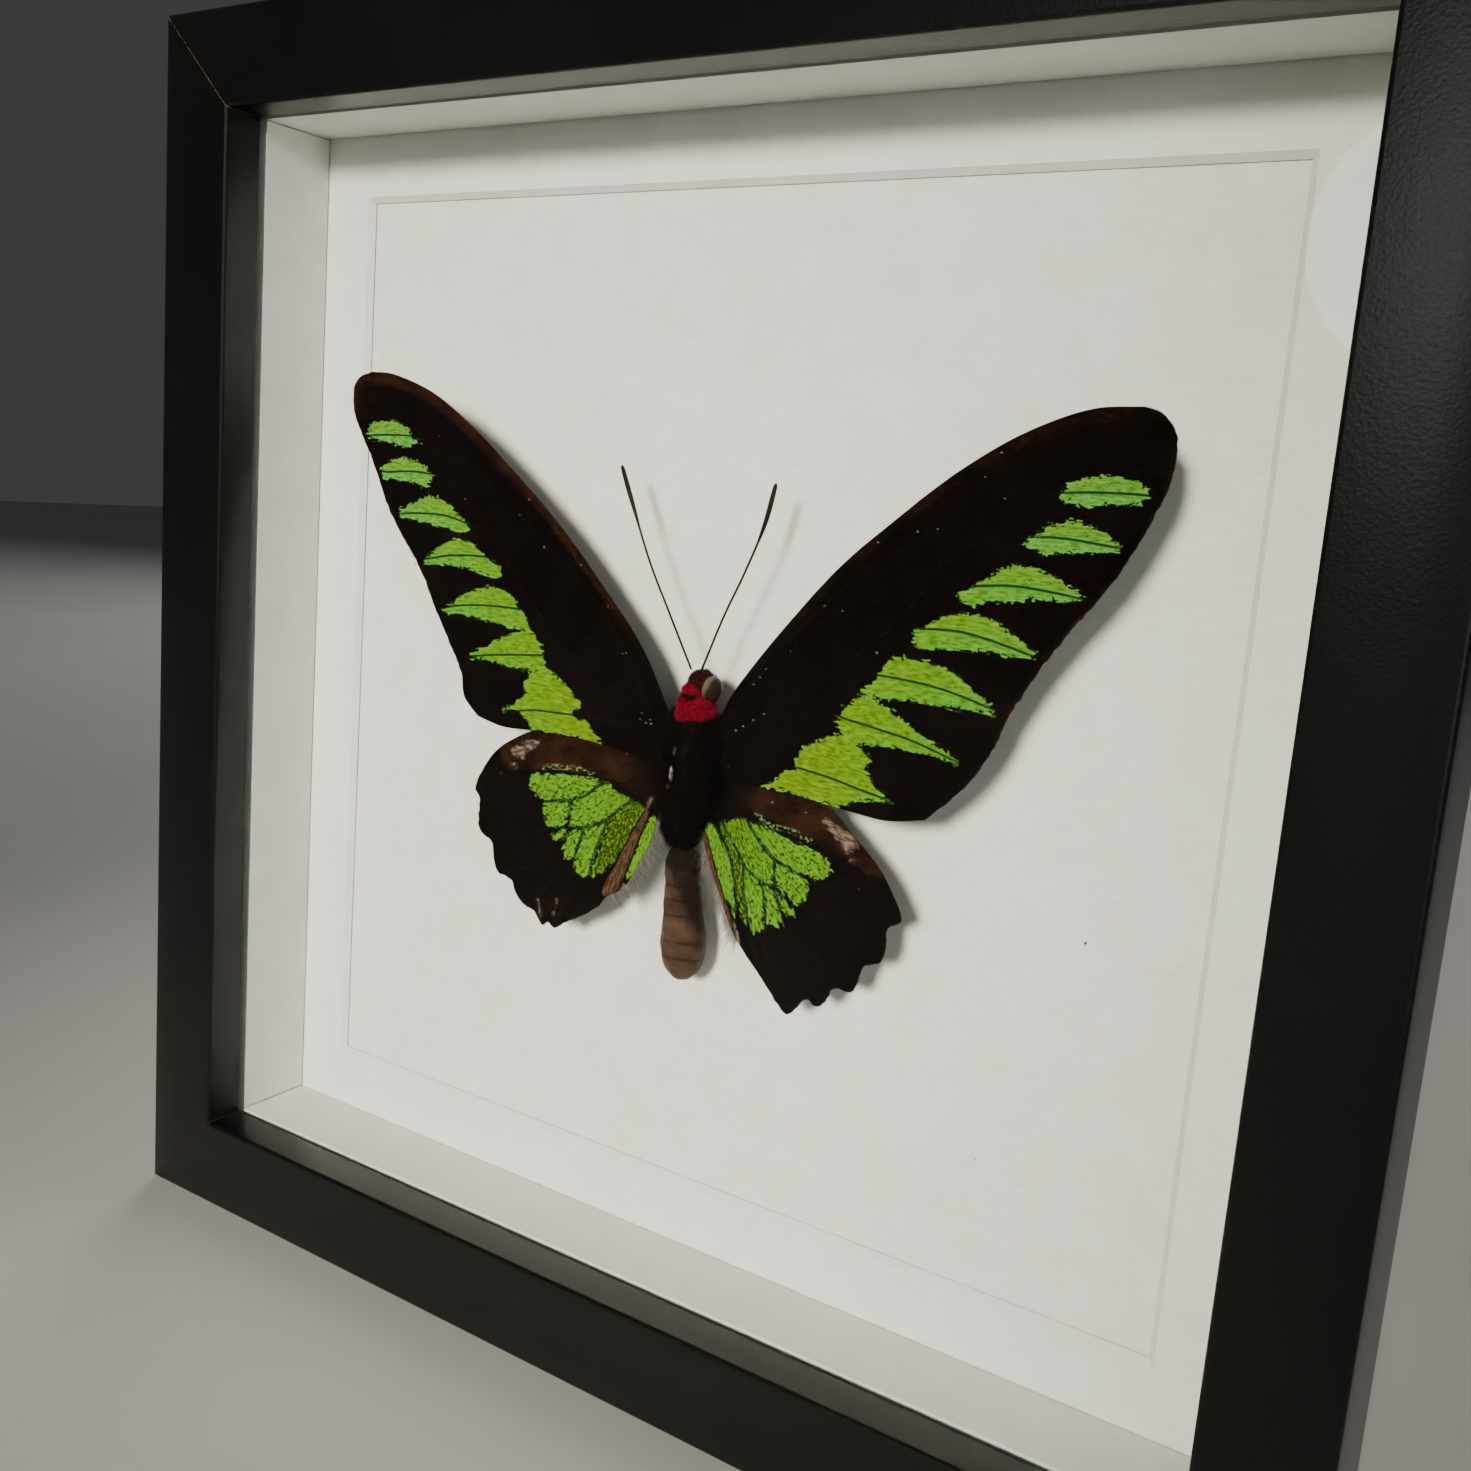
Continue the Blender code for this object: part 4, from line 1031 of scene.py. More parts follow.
def hindwingFields(wing, flat, fields, rim):
    # the green field is parted by veins and thins out to a stipple towards the fold
    reach = np.abs(flat[:, 0] - bodyX)
    green = fields["green"]
    mixed = areasDistance(flat, wing["speckled"])
    speckle = 0.54 + 0.62 * ease(mixed - green, -0.4, 0.8)
    discal = ease(areaDistance(flat, wing["green"][1]), -0.3, 0.8)
    speckle = np.maximum(speckle, 0.54 + 0.30 * discal * ease(-reach, -20, -9))
    speckle = np.minimum(speckle, 1.25 - 0.85 * ease(areaDistance(flat, wing["green"][-1]), -0.4, 0.2))
    green = np.maximum(green, mixed)
    nerve = np.maximum(linesDistance(flat, wing["cellVeins"]) - 0.12, 0)
    fields["green"] = np.where((nerve < 0.25) & (green > -0.3), np.maximum(green, 0.1), green)
    fields["speckle"], fields["nerve"] = speckle, nerve
    fields["ends"] = np.maximum(fields["ends"], 0.55)
    fields["tone"] = 0.64 + 0.26 * ease(speckle, 0.55, 1.1)
    fields["tan"] = areaDistance(flat, np.vstack([wing["fold"][0], wing["fold"][1][::-1]]))
    fields["sparkle"] = lineDistance(flat, smoothPath(wing["sparkle"]))
    brown = ease(areaDistance(flat, wing["brown"]), -1.0, 1.4) * (0.2 + 0.8 * ease(reach, 7, 18))
    fields["brown"] = np.maximum(brown, 0.5 * (1 - ease(rim, 0.1, 0.7)))
    away = flat - np.array(wing["base"])
    angle = np.arctan2(away[:, 1], np.abs(away[:, 0]))
    return np.column_stack([np.linalg.norm(away, axis=1), angle * 22, np.zeros(len(flat))])


def makeWing(wing):
    shape = wingShape
    plane = WingPlane(wing)
    deselectAll()
    bpy.ops.mesh.primitive_grid_add(x_subdivisions=wing["cells"][0], y_subdivisions=wing["cells"][1], size=1,
                                    location=(0, 0, 0))
    piece = named(wing["name"])
    co = np.empty(len(piece.data.vertices) * 3)
    piece.data.vertices.foreach_get("co", co)
    s, t = co.reshape(-1, 3)[:, 0] + 0.5, co.reshape(-1, 3)[:, 1] + 0.5
    t = 1 - t if wing["name"].endswith("Left") else t
    flat = plane.flat(s, t)
    fore = "patchVeins" in wing
    vein = linesDistance(flat, wing["veins"] + wing.get("patchVeins", []))
    rim = lineDistance(flat, smoothPath(wing["margin"]))
    front = lineDistance(flat, smoothPath(wing["costa"]))
    even = np.ones(len(flat))
    fields = {
        "green": areasDistance(flat, wing["green"]), "vein": vein, "ends": markEnds(wing, flat),
        "pale": areasDistance(flat, wing["pale"]) if wing["pale"] else -9.0 * even,
        "side": 0 * even, "speckle": -0.25 * even, "tan": -9.0 * even, "sparkle": 9.0 * even,
    }
    if fore:
        flow = forewingFields(wing, flat, fields, front, rim)
    else:
        flow = hindwingFields(wing, flat, fields, rim)
    depth = plane.depthAt(flat, s, t)
    depth -= (shape["foreRidge"] if fore else shape["hindRidge"]) * np.exp(-(vein / shape["ridgeWidth"]) ** 2)
    depth -= shape["costaRidge"] * np.exp(-(front / shape["costaWidth"]) ** 2)
    if wing["name"] == "hindwingLeft":
        depth -= shape["foldRise"] * ease(fields["tan"], -0.5, 0.9)
    ripple = [noise.noise(Vector((x * 0.16, z * 0.16, 5.0))) + 0.35 * noise.noise(Vector((x * 0.6, z * 0.6, 1.0)))
              for x, z in flat]
    depth -= shape["ripple"] * np.array(ripple) * ease(np.abs(flat[:, 0] - bodyX), 6, 20)
    corners = placeAll(np.column_stack([flat[:, 0], depth, flat[:, 1]]))
    piece.data.vertices.foreach_set("co", corners.ravel())
    for name, values in fields.items():
        putAttribute(piece, name, values)
    putAttribute(piece, "flow", flow, "FLOAT_VECTOR")
    piece.data.update()
    editMode(piece)
    bpy.ops.mesh.select_all(action="SELECT")
    bpy.ops.mesh.remove_doubles(threshold=0.000002)
    bpy.ops.mesh.normals_make_consistent(inside=False)
    bpy.ops.object.mode_set(mode="OBJECT")
    thick = piece.modifiers.new("thickness", "SOLIDIFY")
    thick.thickness = shape["thickness"] * mm
    thick.offset = 0
    applyAll(piece)
    return piece, plane


def wingMaterial():
    # velvet black scales, green marks with feathered ends, brown costal band and rubbed places
    look = {
        "black": (0.0011, 0.0006, 0.0005, 1),
        "blackLight": (0.0030, 0.0017, 0.0013, 1),
        "brown": (0.0060, 0.0024, 0.0012, 1),
        "brownLight": (0.0225, 0.0092, 0.0048, 1),
        "veinGrey": (0.012, 0.0095, 0.0095, 1),
        "tipGreen": (0.082, 0.305, 0.058, 1),
        "midGreen": (0.082, 0.262, 0.016, 1),
        "baseGreen": (0.122, 0.205, 0.001, 1),
        "bright": (0.17, 0.36, 0.020, 1),
        "olive": (0.028, 0.070, 0.003, 1),
        "bareSpeck": (0.007, 0.013, 0.002, 1),
        "nerve": (0.004, 0.012, 0.002, 1),
        "markEdge": (0.16, 0.42, 0.12, 1),
        "glint": (0.13, 0.19, 0.06, 1),
        "foldEdge": (0.009, 0.0045, 0.0025, 1),
        "fold": (0.022, 0.011, 0.005, 1),
        "foldLight": (0.092, 0.052, 0.027, 1),
        "rubbed": (0.050, 0.032, 0.024, 1),
        "rubbedLight": (0.185, 0.135, 0.100, 1),
    }
    material, tree, shader = newMaterial("wingScales", {
        "Sheen Weight": 0.015, "Sheen Roughness": 0.5, "Sheen Tint": (1.0, 0.6, 0.5, 1),
        "Specular IOR Level": 0.06})
    flow = attributeOf(tree, "flow", "Vector")
    green, vein, pale, brown, tone, side = (
        attributeOf(tree, name) for name in ("green", "vein", "pale", "brown", "tone", "side"))
    speckle, tan, sparkle, ends, nerve = (
        attributeOf(tree, name) for name in ("speckle", "tan", "sparkle", "ends", "nerve"))
    streak = noiseOf(tree, flow, 1.0, (0.42, 1.55, 1), detail=3.0, roughness=0.6)
    fineStreak = noiseOf(tree, flow, 1.0, (0.65, 2.6, 1), detail=2.0)
    soft = noiseOf(tree, flow, 0.8, detail=3.0)
    broad = noiseOf(tree, flow, 0.16, detail=2.0)
    grainy = noiseOf(tree, flow, 1.35, (0.9, 1.15, 1), detail=2.0, roughness=0.7)
    scales = addNode(tree, "SeparateColor", {0: cellsOf(tree, flow, 2.7)}).outputs
    scale, other = scales["Red"], scales["Green"]

    # black ground with a faint brown bloom and thin grey veins
    bloom = fade(tree, total(tree, broad, wave(tree, scale, 0.5)), 0.3, 0.75)
    ground = blend(tree, bloom, look["black"], look["blackLight"])
    bloom = fade(tree, total(tree, broad, wave(tree, fineStreak, 0.7)), 0.3, 0.7)
    brownScales = blend(tree, bloom, look["brown"], look["brownLight"])
    amount = total(tree, brown, wave(tree, streak, 0.9), wave(tree, scale, 0.35))
    amount = times(tree, fade(tree, amount, 0.12, 0.95), fade(tree, brown, 0.0, 0.12))
    color = blend(tree, amount, ground, brownScales)
    line = times(tree, fade(tree, vein, 0.26, 0.04), fade(tree, soft, 0.38, 0.62))
    color = tint(tree, color, line, 0.22, look["veinGrey"])

    # green marks: long teeth at their ends, fine ones along their sides, stippled edge
    edge = total(tree, green, times(tree, wave(tree, streak, 3.6), ends), wave(tree, grainy, 1.7),
                 wave(tree, fineStreak, 1.1), wave(tree, scale, 0.45))
    mask = fade(tree, edge, -0.06, 0.12)
    ramp = addNode(tree, "ValToRGB", {0: total(tree, tone, wave(tree, soft, 0.8))})
    stops = ramp.color_ramp.elements
    stops[0].position, stops[0].color = 0.08, look["tipGreen"]
    stops[1].position, stops[1].color = 0.95, look["baseGreen"]
    stops.new(0.5).color = look["midGreen"]
    upper = fade(tree, total(tree, side, wave(tree, streak, 1.6)), -0.2, 1.1)
    leaf = tint(tree, ramp.outputs[0], upper, 0.50, look["baseGreen"])
    leaf = tint(tree, leaf, fade(tree, fineStreak, 0.58, 0.38), 0.66, look["olive"])
    leaf = tint(tree, leaf, fade(tree, streak, 0.50, 0.66), 0.48, look["bright"])
    leaf = tint(tree, leaf, fade(tree, scale, 0.55, 1.0), 0.24, look["bright"])
    grit = total(tree, grainy, wave(tree, other, 0.16))
    level = calc(tree, "MULTIPLY_ADD", upper, 0.035, calc(tree, "MULTIPLY_ADD", speckle, 0.20, 0.315))
    bare = fade(tree, calc(tree, "SUBTRACT", grit, level), 0.04, -0.03)
    leaf = tint(tree, leaf, bare, 0.90, look["bareSpeck"])
    leaf = tint(tree, leaf, fade(tree, calc(tree, "ABSOLUTE", nerve), 0.30, 0.10), 0.93, look["nerve"])
    rimLight = times(tree, fade(tree, edge, 0.55, 0.05), fade(tree, other, 0.5, 0.7))
    leaf = tint(tree, leaf, rimLight, 0.35, look["markEdge"])
    color = blend(tree, mask, color, leaf)

    # rubbed places, the tan fold and the loose light scales
    glint = times(tree, fade(tree, sparkle, 0.75, 0.2), fade(tree, other, 0.66, 0.74))
    color = blend(tree, glint, color, look["glint"])
    streaky = fade(tree, fineStreak, 0.35, 0.65)
    tanEdge = total(tree, tan, wave(tree, streak, 0.5))
    color = blend(tree, fade(tree, tanEdge, -0.45, -0.15), color, look["foldEdge"])
    foldColor = blend(tree, streaky, look["fold"], look["foldLight"])
    color = blend(tree, fade(tree, tanEdge, -0.1, 0.15), color, foldColor)
    scuff = total(tree, pale, wave(tree, streak, 1.9), wave(tree, scale, 0.7))
    scuffColor = blend(tree, streaky, look["rubbed"], look["rubbedLight"])
    color = blend(tree, fade(tree, scuff, -0.35, 0.55), color, scuffColor)
    height = calc(tree, "MULTIPLY_ADD", scale, 0.6, fineStreak)
    rough = calc(tree, "MULTIPLY_ADD", mask, -0.15, 0.92)
    finishWith(tree, shader, color, rough, bump(tree, height, 0.00005, 0.6))
    return material


wings = (forewingLeft, forewingRight, hindwingLeft, hindwingRight)
wingScales = wingMaterial()
planes = {}
for wing in wings:
    piece, planes[wing["name"]] = makeWing(wing)
    dress(piece, wingScales)
    settle(piece, [wing["node"]], 80)
    print(wing["name"], len(piece.data.polygons), "faces")


# Body: round forms drawn out ring by ring, then given finer faces

def drawRings(name, rings, sides=28):
    # rings are (centre x, depth, z, half width, half depth), from the bottom up
    x, depth, z, width, deep = rings[0]
    deselectAll()
    bpy.ops.mesh.primitive_circle_add(vertices=sides, radius=1, fill_type="NGON", location=(0, 0, 0))
    piece = named(name)
    bpy.ops.object.mode_set(mode="EDIT")
    bpy.ops.transform.resize(value=(width * mm, deep * mm, 1), center_override=(0, 0, 0))
    bpy.ops.transform.translate(value=place(x, depth, z))
    for before, ring in zip(rings, rings[1:]):
        step = place(*ring[:3]) - place(*before[:3])
        bpy.ops.mesh.extrude_region_move(TRANSFORM_OT_translate={"value": step})
        bpy.ops.transform.resize(value=(ring[3] / before[3], ring[4] / before[4], 1),
                                 center_override=place(*ring[:3]))
    bpy.ops.mesh.select_all(action="SELECT")
    bpy.ops.mesh.normals_make_consistent(inside=False)
    bpy.ops.object.mode_set(mode="OBJECT")
    return piece


def finer(piece, levels):
    smooth = piece.modifiers.new("smooth", "SUBSURF")
    smooth.levels = smooth.render_levels = levels
    applyAll(piece)


def roughen(piece, amount, scale, seed=0.0):
    # moves each point a little along its normal
    normals = [v.normal.copy() for v in piece.data.vertices]
    for v, normal in zip(piece.data.vertices, normals):
        v.co += normal * (amount * mm * noise.fractal(v.co / mm * scale + Vector((seed, 0, 0)), 0.8, 2.0, 3))
    piece.data.update()


def growStrands(name, roots, directions, lengths, width, bend, shades, droop=(0, 0, -1)):
    # thin tapered hairs, each a three-sided spike with one bend in it
    count = len(roots)
    directions = directions / np.linalg.norm(directions, axis=1)[:, None]
    helper = np.where(np.abs(directions[:, :1]) > 0.8, [[0.0, 1.0, 0.0]], [[1.0, 0.0, 0.0]])
    u = np.cross(directions, helper)
    u /= np.linalg.norm(u, axis=1)[:, None]
    v = np.cross(directions, u)
    spin = dice.random((count, 1)) * 2 * math.pi
    rings = []
    lengths = lengths[:, None]
    sag = bend[:, None] * np.asarray(droop)
    middle = roots + directions * lengths * 0.5 + sag * lengths * 0.25
    tip = roots + directions * lengths + sag * lengths
    for centre, radius in ((roots, width / 2), (middle, width * 0.36)):
        for k in range(3):
            a = spin + 2 * math.pi * k / 3
            rings.append(centre + (u * np.cos(a) + v * np.sin(a)) * np.reshape(radius, (-1, 1)))
    points = np.stack(rings + [tip], axis=1).reshape(-1, 3)
    base = np.arange(count)[:, None] * 7
    faces = [(0, 2, 1), (0, 1, 4), (0, 4, 3), (1, 2, 5), (1, 5, 4), (2, 0, 3), (2, 3, 5), (3, 4, 6), (4, 5, 6),
             (5, 3, 6)]
    triangles = np.concatenate([base + np.array(face) for face in faces])
    mesh = bpy.data.meshes.new(name)
    mesh.from_pydata(placeAll(points).tolist(), [], triangles.tolist())
    piece = bpy.data.objects.new(name, mesh)
    bpy.context.collection.objects.link(piece)
    putAttribute(piece, "shade", np.repeat(shades, 7))
    mesh.update()
    return piece


def rootsOn(piece, count, test):
    # random places on a piece's faces: points in millimetres and their normals
    mesh = piece.data
    mesh.calc_loop_triangles()
    areas = np.array([t.area for t in mesh.loop_triangles])
    chosen = dice.choice(len(areas), size=count, p=areas / areas.sum())
    points, normals = [], []
    for index in chosen:
        triangle = mesh.loop_triangles[int(index)]
        a, b, c = (mesh.vertices[k].co for k in triangle.vertices)
        u, v = random.random(), random.random()
        if u + v > 1:
            u, v = 1 - u, 1 - v
        p = a + (b - a) * u + (c - a) * v
        points.append((p.x / mm, p.y / mm + frameSize["depth"] / 2, p.z / mm - half))
        normals.append(tuple(triangle.normal))
    points, normals = np.array(points), np.array(normals)
    keep = test(normals)
    return points[keep], normals[keep]


def furMaterial(name, dark, light, roughness=0.6, sheen=0.0, spec=0.25):
    material, tree, shader = newMaterial(name, {"Roughness": roughness, "Sheen Weight": sheen,
                                                "Specular IOR Level": spec})
    shade = attributeOf(tree, "shade")
    ruffle = noiseOf(tree, objectCoords(tree), 900.0)
    mixed = calc(tree, "MULTIPLY_ADD", calc(tree, "SUBTRACT", ruffle, 0.5), 0.5, shade, clamp=True)
    finishWith(tree, shader, blend(tree, mixed, dark, light))
    return material


def shellMaterial(name, look):
    # hard skin: fine grain in its colour, gloss and relief
    material, tree, shader = newMaterial(name, {"Specular IOR Level": look["specular"]})
    grain = useGroup(tree, fineGrain, {
        "Vector": objectCoords(tree), "Scale": look["scale"], "Contrast": look["contrast"]})
    color = blend(tree, grain["Shade"], look["dark"], look["light"])
    spread, least = look["roughness"]
    finishWith(tree, shader, color, calc(tree, "MULTIPLY_ADD", grain["Shade"], spread, least),
               bump(tree, grain["Height"], look["relief"], 0.6))
    return material


thoraxBody = {
    # height, half width, half depth and depth down its length
    "rings": [(-25.6, 1.6, 1.8, 20.2), (-24.2, 2.9, 3.2, 20.3), (-20, 3.9, 4.6, 20.6), (-16, 4.6, 5.6, 21.0),
              (-12, 5.0, 6.3, 21.0), (-8, 5.3, 6.3, 21.0), (-4, 5.1, 5.6, 20.6), (-1.4, 4.7, 4.6, 20.2),
              (-0.2, 3.2, 3.2, 19.9)],
    "lean": ([-25, -20, -9], [0.9, 1.1, bodyX]),      # middle line: heights and the x there
    "hairs": 12000,
    "hairLength": (0.8, 2.1),
    "sideHairs": 5000,      # on each side, over the wing roots
    "sideLength": (2.0, 5.2),
    "sideTaper": ([-23, -17, -12, -1], [0.30, 0.62, 1.0, 0.7]),      # heights and the share of length there
    "shoulderHairs": 2200,
    "shoulderLength": (1.6, 3.4),
    "fur": ((0.0010, 0.0006, 0.0005, 1), (0.0042, 0.0025, 0.0020, 1)),
    "shell": {"dark": (0.0016, 0.0010, 0.0008, 1), "light": (0.0060, 0.0036, 0.0029, 1), "scale": 1500.0,
              "contrast": 1.4, "roughness": (0.3, 0.3), "relief": 0.0001, "specular": 0.1},
    # bare glossy places whose pale streaks are a painted glint: x, z, half width, half height, turn
    "bareSpots": [(1.3, -6.0, 0.20, 1.0, 8), (0.95, -10.3, 0.48, 1.5, -8), (0.2, -12.8, 0.22, 0.5, 12),
                  (6.5, -8.4, 0.26, 0.7, -8)],
    # dark shell colour, then the pale colour of the painted glint
    "bare": ((0.006, 0.0045, 0.005, 1), (0.17, 0.145, 0.155, 1)),
}
collarBody = {
    # rounded lobes: centre x, depth, z, then half width, half depth and half height
    "lobes": [(2.1, 19.0, 1.4, 3.55, 3.1, 1.9), (1.75, 18.2, 4.6, 1.75, 2.3, 1.35),
              (0.75, 18.6, 0.0, 2.05, 2.9, 1.7), (3.9, 18.8, 0.75, 1.9, 2.8, 1.6),
              (3.7, 18.4, 2.7, 1.75, 2.4, 1.3), (0.2, 18.6, 2.5, 1.2, 2.3, 1.6)],
    "spot": (1.35, 3.4, 1.8, 0.82),      # black patch of hairs: x, z, half width, half height
    "hairs": 9000,
    "hairLength": (0.3, 0.75),
    "black": (0.0025, 0.0008, 0.0008, 1),
    "darkRed": (0.115, 0.0018, 0.009, 1),
    "red": (0.26, 0.0035, 0.022, 1),
}
headBody = {
    "rings": [(4.6, 2.0, 2.1, 19.2), (5.6, 2.6, 2.4, 19.2), (6.6, 2.6, 2.3, 19.0), (7.5, 1.9, 1.7, 18.9),
              (8.1, 0.8, 0.8, 18.9)],
    "centreX": 2.9,
    "eyeRadius": 2.12,
    "eyeShape": (0.84, 1.0, 1.13),
    "eyes": [(5.15, 18.6, 5.1), (1.0, 20.2, 5.6)],
    "eyeDark": (0.014, 0.008, 0.005, 1),
    "eyePaintedReflection": (0.100, 0.074, 0.053, 1),
    "hairs": 2200,
    "fur": ((0.004, 0.0009, 0.0008, 1), (0.042, 0.006, 0.006, 1)),
    "shell": {"dark": (0.004, 0.0009, 0.0008, 1), "light": (0.030, 0.0055, 0.0045, 1), "scale": 1800.0,
              "contrast": 1.5, "roughness": (0.3, 0.4), "relief": 0.0001, "specular": 0.15},
}


def thoraxX(z):
    return np.interp(z, *thoraxBody["lean"])


def bodyRings(rings, x=None):
    return [(float(thoraxX(z)) if x is None else x, depth, z, width, deep) for z, width, deep, depth in rings]


def comb(points, heading, amount, scale=0.55):
    # neighbouring hairs lean the same way
    lean = np.array([noise.noise_vector(Vector(p) * scale) for p in points])
    return heading + amount * lean


def between(lowHigh, share):
    low, high = lowHigh
    return low + (high - low) * share


def thoraxSide(side, count):
    # roots on one side of the front of the thorax, and headings out over the wing's root
    rings = np.array(thoraxBody["rings"])
    shoulders = np.arange(count) < thoraxBody["shoulderHairs"]
    z = np.where(shoulders, dice.uniform(-5.0, -0.3, count), dice.uniform(-23.0, -0.9, count))
    angle = np.radians(np.where(shoulders, dice.uniform(40, 88, count), dice.uniform(18, 72, count)))
    width, deep, depth = (np.interp(z, rings[:, 0], rings[:, k]) for k in (1, 2, 3))
    roots = np.column_stack([thoraxX(z) + side * width * np.sin(angle), depth - deep * np.cos(angle), z])
    heading = np.column_stack([np.full(count, 0.85 * side), 0.12 - 0.45 * np.cos(angle), -0.55 + 0.012 * z])
    heading[shoulders, 2] = 0.35
    lengths = between(thoraxBody["sideLength"], dice.random(count)) * np.interp(z, *thoraxBody["sideTaper"])
    lengths = np.where(shoulders, between(thoraxBody["shoulderLength"], dice.random(count)), lengths)
    return roots, comb(roots, heading + 0.22 * dice.normal(size=(count, 3)), 0.8), lengths


thorax = drawRings("thoraxShell", bodyRings(thoraxBody["rings"]))
finer(thorax, 2)
roughen(thorax, 0.5, 0.45)
thorax.data.materials.append(shellMaterial("thoraxShell", thoraxBody["shell"]))
points, normals = rootsOn(thorax, thoraxBody["hairs"], lambda normals: normals[:, 1] < 0.35)
count = len(points)
lengths = between(thoraxBody["hairLength"], dice.random(count))
heading = comb(points, normals * 0.75 + np.array([0, 0, -1.0]) + 0.35 * dice.normal(size=(count, 3)), 0.9)
thoraxFur = growStrands("thoraxFur", points, heading, lengths, 0.07 + 0.06 * dice.random(count),
                        0.15 * dice.random(count), dice.random(count))
blackFur = furMaterial("blackFur", *thoraxBody["fur"], spec=0.06)
thoraxFur.data.materials.append(blackFur)
settle(thorax, ["thorax"])
settle(thoraxFur)
for side, label in ((-1, "Left"), (1, "Right")):
    roots, heading, lengths = thoraxSide(side, thoraxBody["sideHairs"] + thoraxBody["shoulderHairs"])
    count = len(roots)
    sideFur = growStrands("rootFur" + label, roots, heading, lengths, 0.08 + 0.06 * dice.random(count),
                          0.10 + 0.15 * dice.random(count), 0.8 * dice.random(count), droop=(0, 0.35, -1))
    sideFur.data.materials.append(blackFur)
    settle(sideFur)


def addSphere(name, segments, rings, radius, location, rotation=(0, 0, 0)):
    deselectAll()
    bpy.ops.mesh.primitive_uv_sphere_add(segments=segments, ring_count=rings, radius=radius, location=location,
                                         rotation=rotation)
    return named(name)


def joinAll(parts, name):
    deselectAll()
    for part in parts:
        part.select_set(True)
    bpy.context.view_layer.objects.active = parts[0]
    bpy.ops.object.join()
    return named(name)


def makeBareSpots():
    rings = np.array(thoraxBody["rings"])
    parts = []
    for x, z, width, tall, turn in thoraxBody["bareSpots"]:
        wide, deep, depth = (float(np.interp(z, rings[:, 0], rings[:, k])) for k in (1, 2, 3))
        across = (x - float(thoraxX(z))) / wide
        front = depth - deep * math.sqrt(1 - across ** 2)
        spot = addSphere("bareSpot", 24, 16, mm, place(x, front - 1.15, z),
                         (0, math.radians(turn), math.asin(across) * 0.8))
        spot.scale = (width, 0.45, tall)
        bpy.ops.object.transform_apply(location=False, rotation=True, scale=True)
        parts.append(spot)
    return joinAll(parts, "thoraxBareGlintSpots")


def bareGlintMaterial():
    material, tree, shader = newMaterial("bareShellPaintedGlint", {"Specular IOR Level": 0.6, "Coat Weight": 0.4})
    coords = objectCoords(tree)
    grain = useGroup(tree, fineGrain, {"Vector": coords, "Scale": 1400.0, "Contrast": 1.6})
    streaks = noiseOf(tree, coords, 1200.0, (2.2, 1, 0.4), detail=2.0)
    # pale streaks paint a glint on each bare spot
    color = blend(tree, fade(tree, streaks, 0.44, 0.66), *thoraxBody["bare"])
    finishWith(tree, shader, color, calc(tree, "MULTIPLY_ADD", grain["Shade"], 0.2, 0.18),
               bump(tree, grain["Height"], 0.00005, 0.5))
    return material


bare = makeBareSpots()
dress(bare, bareGlintMaterial())
settle(bare, smoothAngle=80)


def makeCollar():
    # the lobes are run together into one soft form
    parts = []
    for x, depth, z, width, deep, tall in collarBody["lobes"]:
        lobe = addSphere("collarLobe", 32, 20, mm, place(x, depth, z))
        lobe.scale = (width, deep, tall)
        bpy.ops.object.transform_apply(location=True, rotation=True, scale=True)
        parts.append(lobe)
    piece = joinAll(parts, "collarShell")
    joined = piece.modifiers.new("joined", "REMESH")
    joined.mode = "VOXEL"
    joined.voxel_size = 0.16 * mm
    applyAll(piece)
    soft = piece.modifiers.new("soft", "SMOOTH")
    soft.factor = 0.5
    soft.iterations = 8
    applyAll(piece)
    return piece


def crimsonMaterial(name, shaded):
    material, tree, shader = newMaterial(name, {"Roughness": 0.6, "Sheen Weight": 0.03,
                                                "Sheen Tint": (1.0, 0.3, 0.4, 1), "Specular IOR Level": 0.15})
    shade = attributeOf(tree, "shade") if shaded else noiseOf(tree, objectCoords(tree), 1500.0)
    ramp = addNode(tree, "ValToRGB", {0: shade})
    stops = ramp.color_ramp.elements
    stops[0].position, stops[0].color = 0.05, collarBody["black"]
    stops[1].position, stops[1].color = 1.0, collarBody["red"]
    stops.new(0.35).color = collarBody["darkRed"]
    finishWith(tree, shader, ramp.outputs[0])
    return material


collar = makeCollar()
roughen(collar, 0.18, 0.9, 4.0)
points, normals = rootsOn(collar, collarBody["hairs"], lambda normals: normals[:, 1] < 0.5)
count = len(points)
lengths = between(collarBody["hairLength"], dice.random(count))
heading = comb(points, normals + np.array([0, 0, -0.45]) + 0.32 * dice.normal(size=(count, 3)), 0.5, 1.2)
spotX, spotZ, spotWide, spotTall = collarBody["spot"]
away = np.hypot((points[:, 0] - spotX) / spotWide, (points[:, 2] - spotZ) / spotTall)
away += 0.25 * dice.normal(size=count)
shades = np.where(away < 1, 0.0, 0.30 + 0.70 * dice.random(count))
collarFur = growStrands("collarFur", points, heading, lengths, 0.08 + 0.05 * dice.random(count),
                        0.12 * dice.random(count), shades)
dress(collar, crimsonMaterial("collarSkin", False))
dress(collarFur, crimsonMaterial("crimsonFur", True))
settle(collar, ["collar"])
settle(collarFur)


def eyeMaterial():
    # domed compound eye: brown, with a painted reflection that makes its upper left side paler, and tiny facets
    material, tree, shader = newMaterial("eyeLens", {"Roughness": 0.35, "Specular IOR Level": 0.12})
    coords = objectCoords(tree)
    facets = cellsOf(tree, coords, 9000.0, "Distance")
    # painted reflection: paler where the eye faces up and to the left
    facing = addNode(tree, "SeparateXYZ", {0: addNode(tree, "NewGeometry").outputs["Normal"]}).outputs
    across = calc(tree, "MULTIPLY_ADD", facing["X"], 0.8, times(tree, facing["Z"], -0.6))
    across = calc(tree, "MULTIPLY_ADD", noiseOf(tree, coords, 500.0), 0.4, across)
    color = blend(tree, fade(tree, across, 0.45, -0.15), headBody["eyeDark"], headBody["eyePaintedReflection"])
    finishWith(tree, shader, color, None, bump(tree, facets, 0.00001, 0.3))
    return material


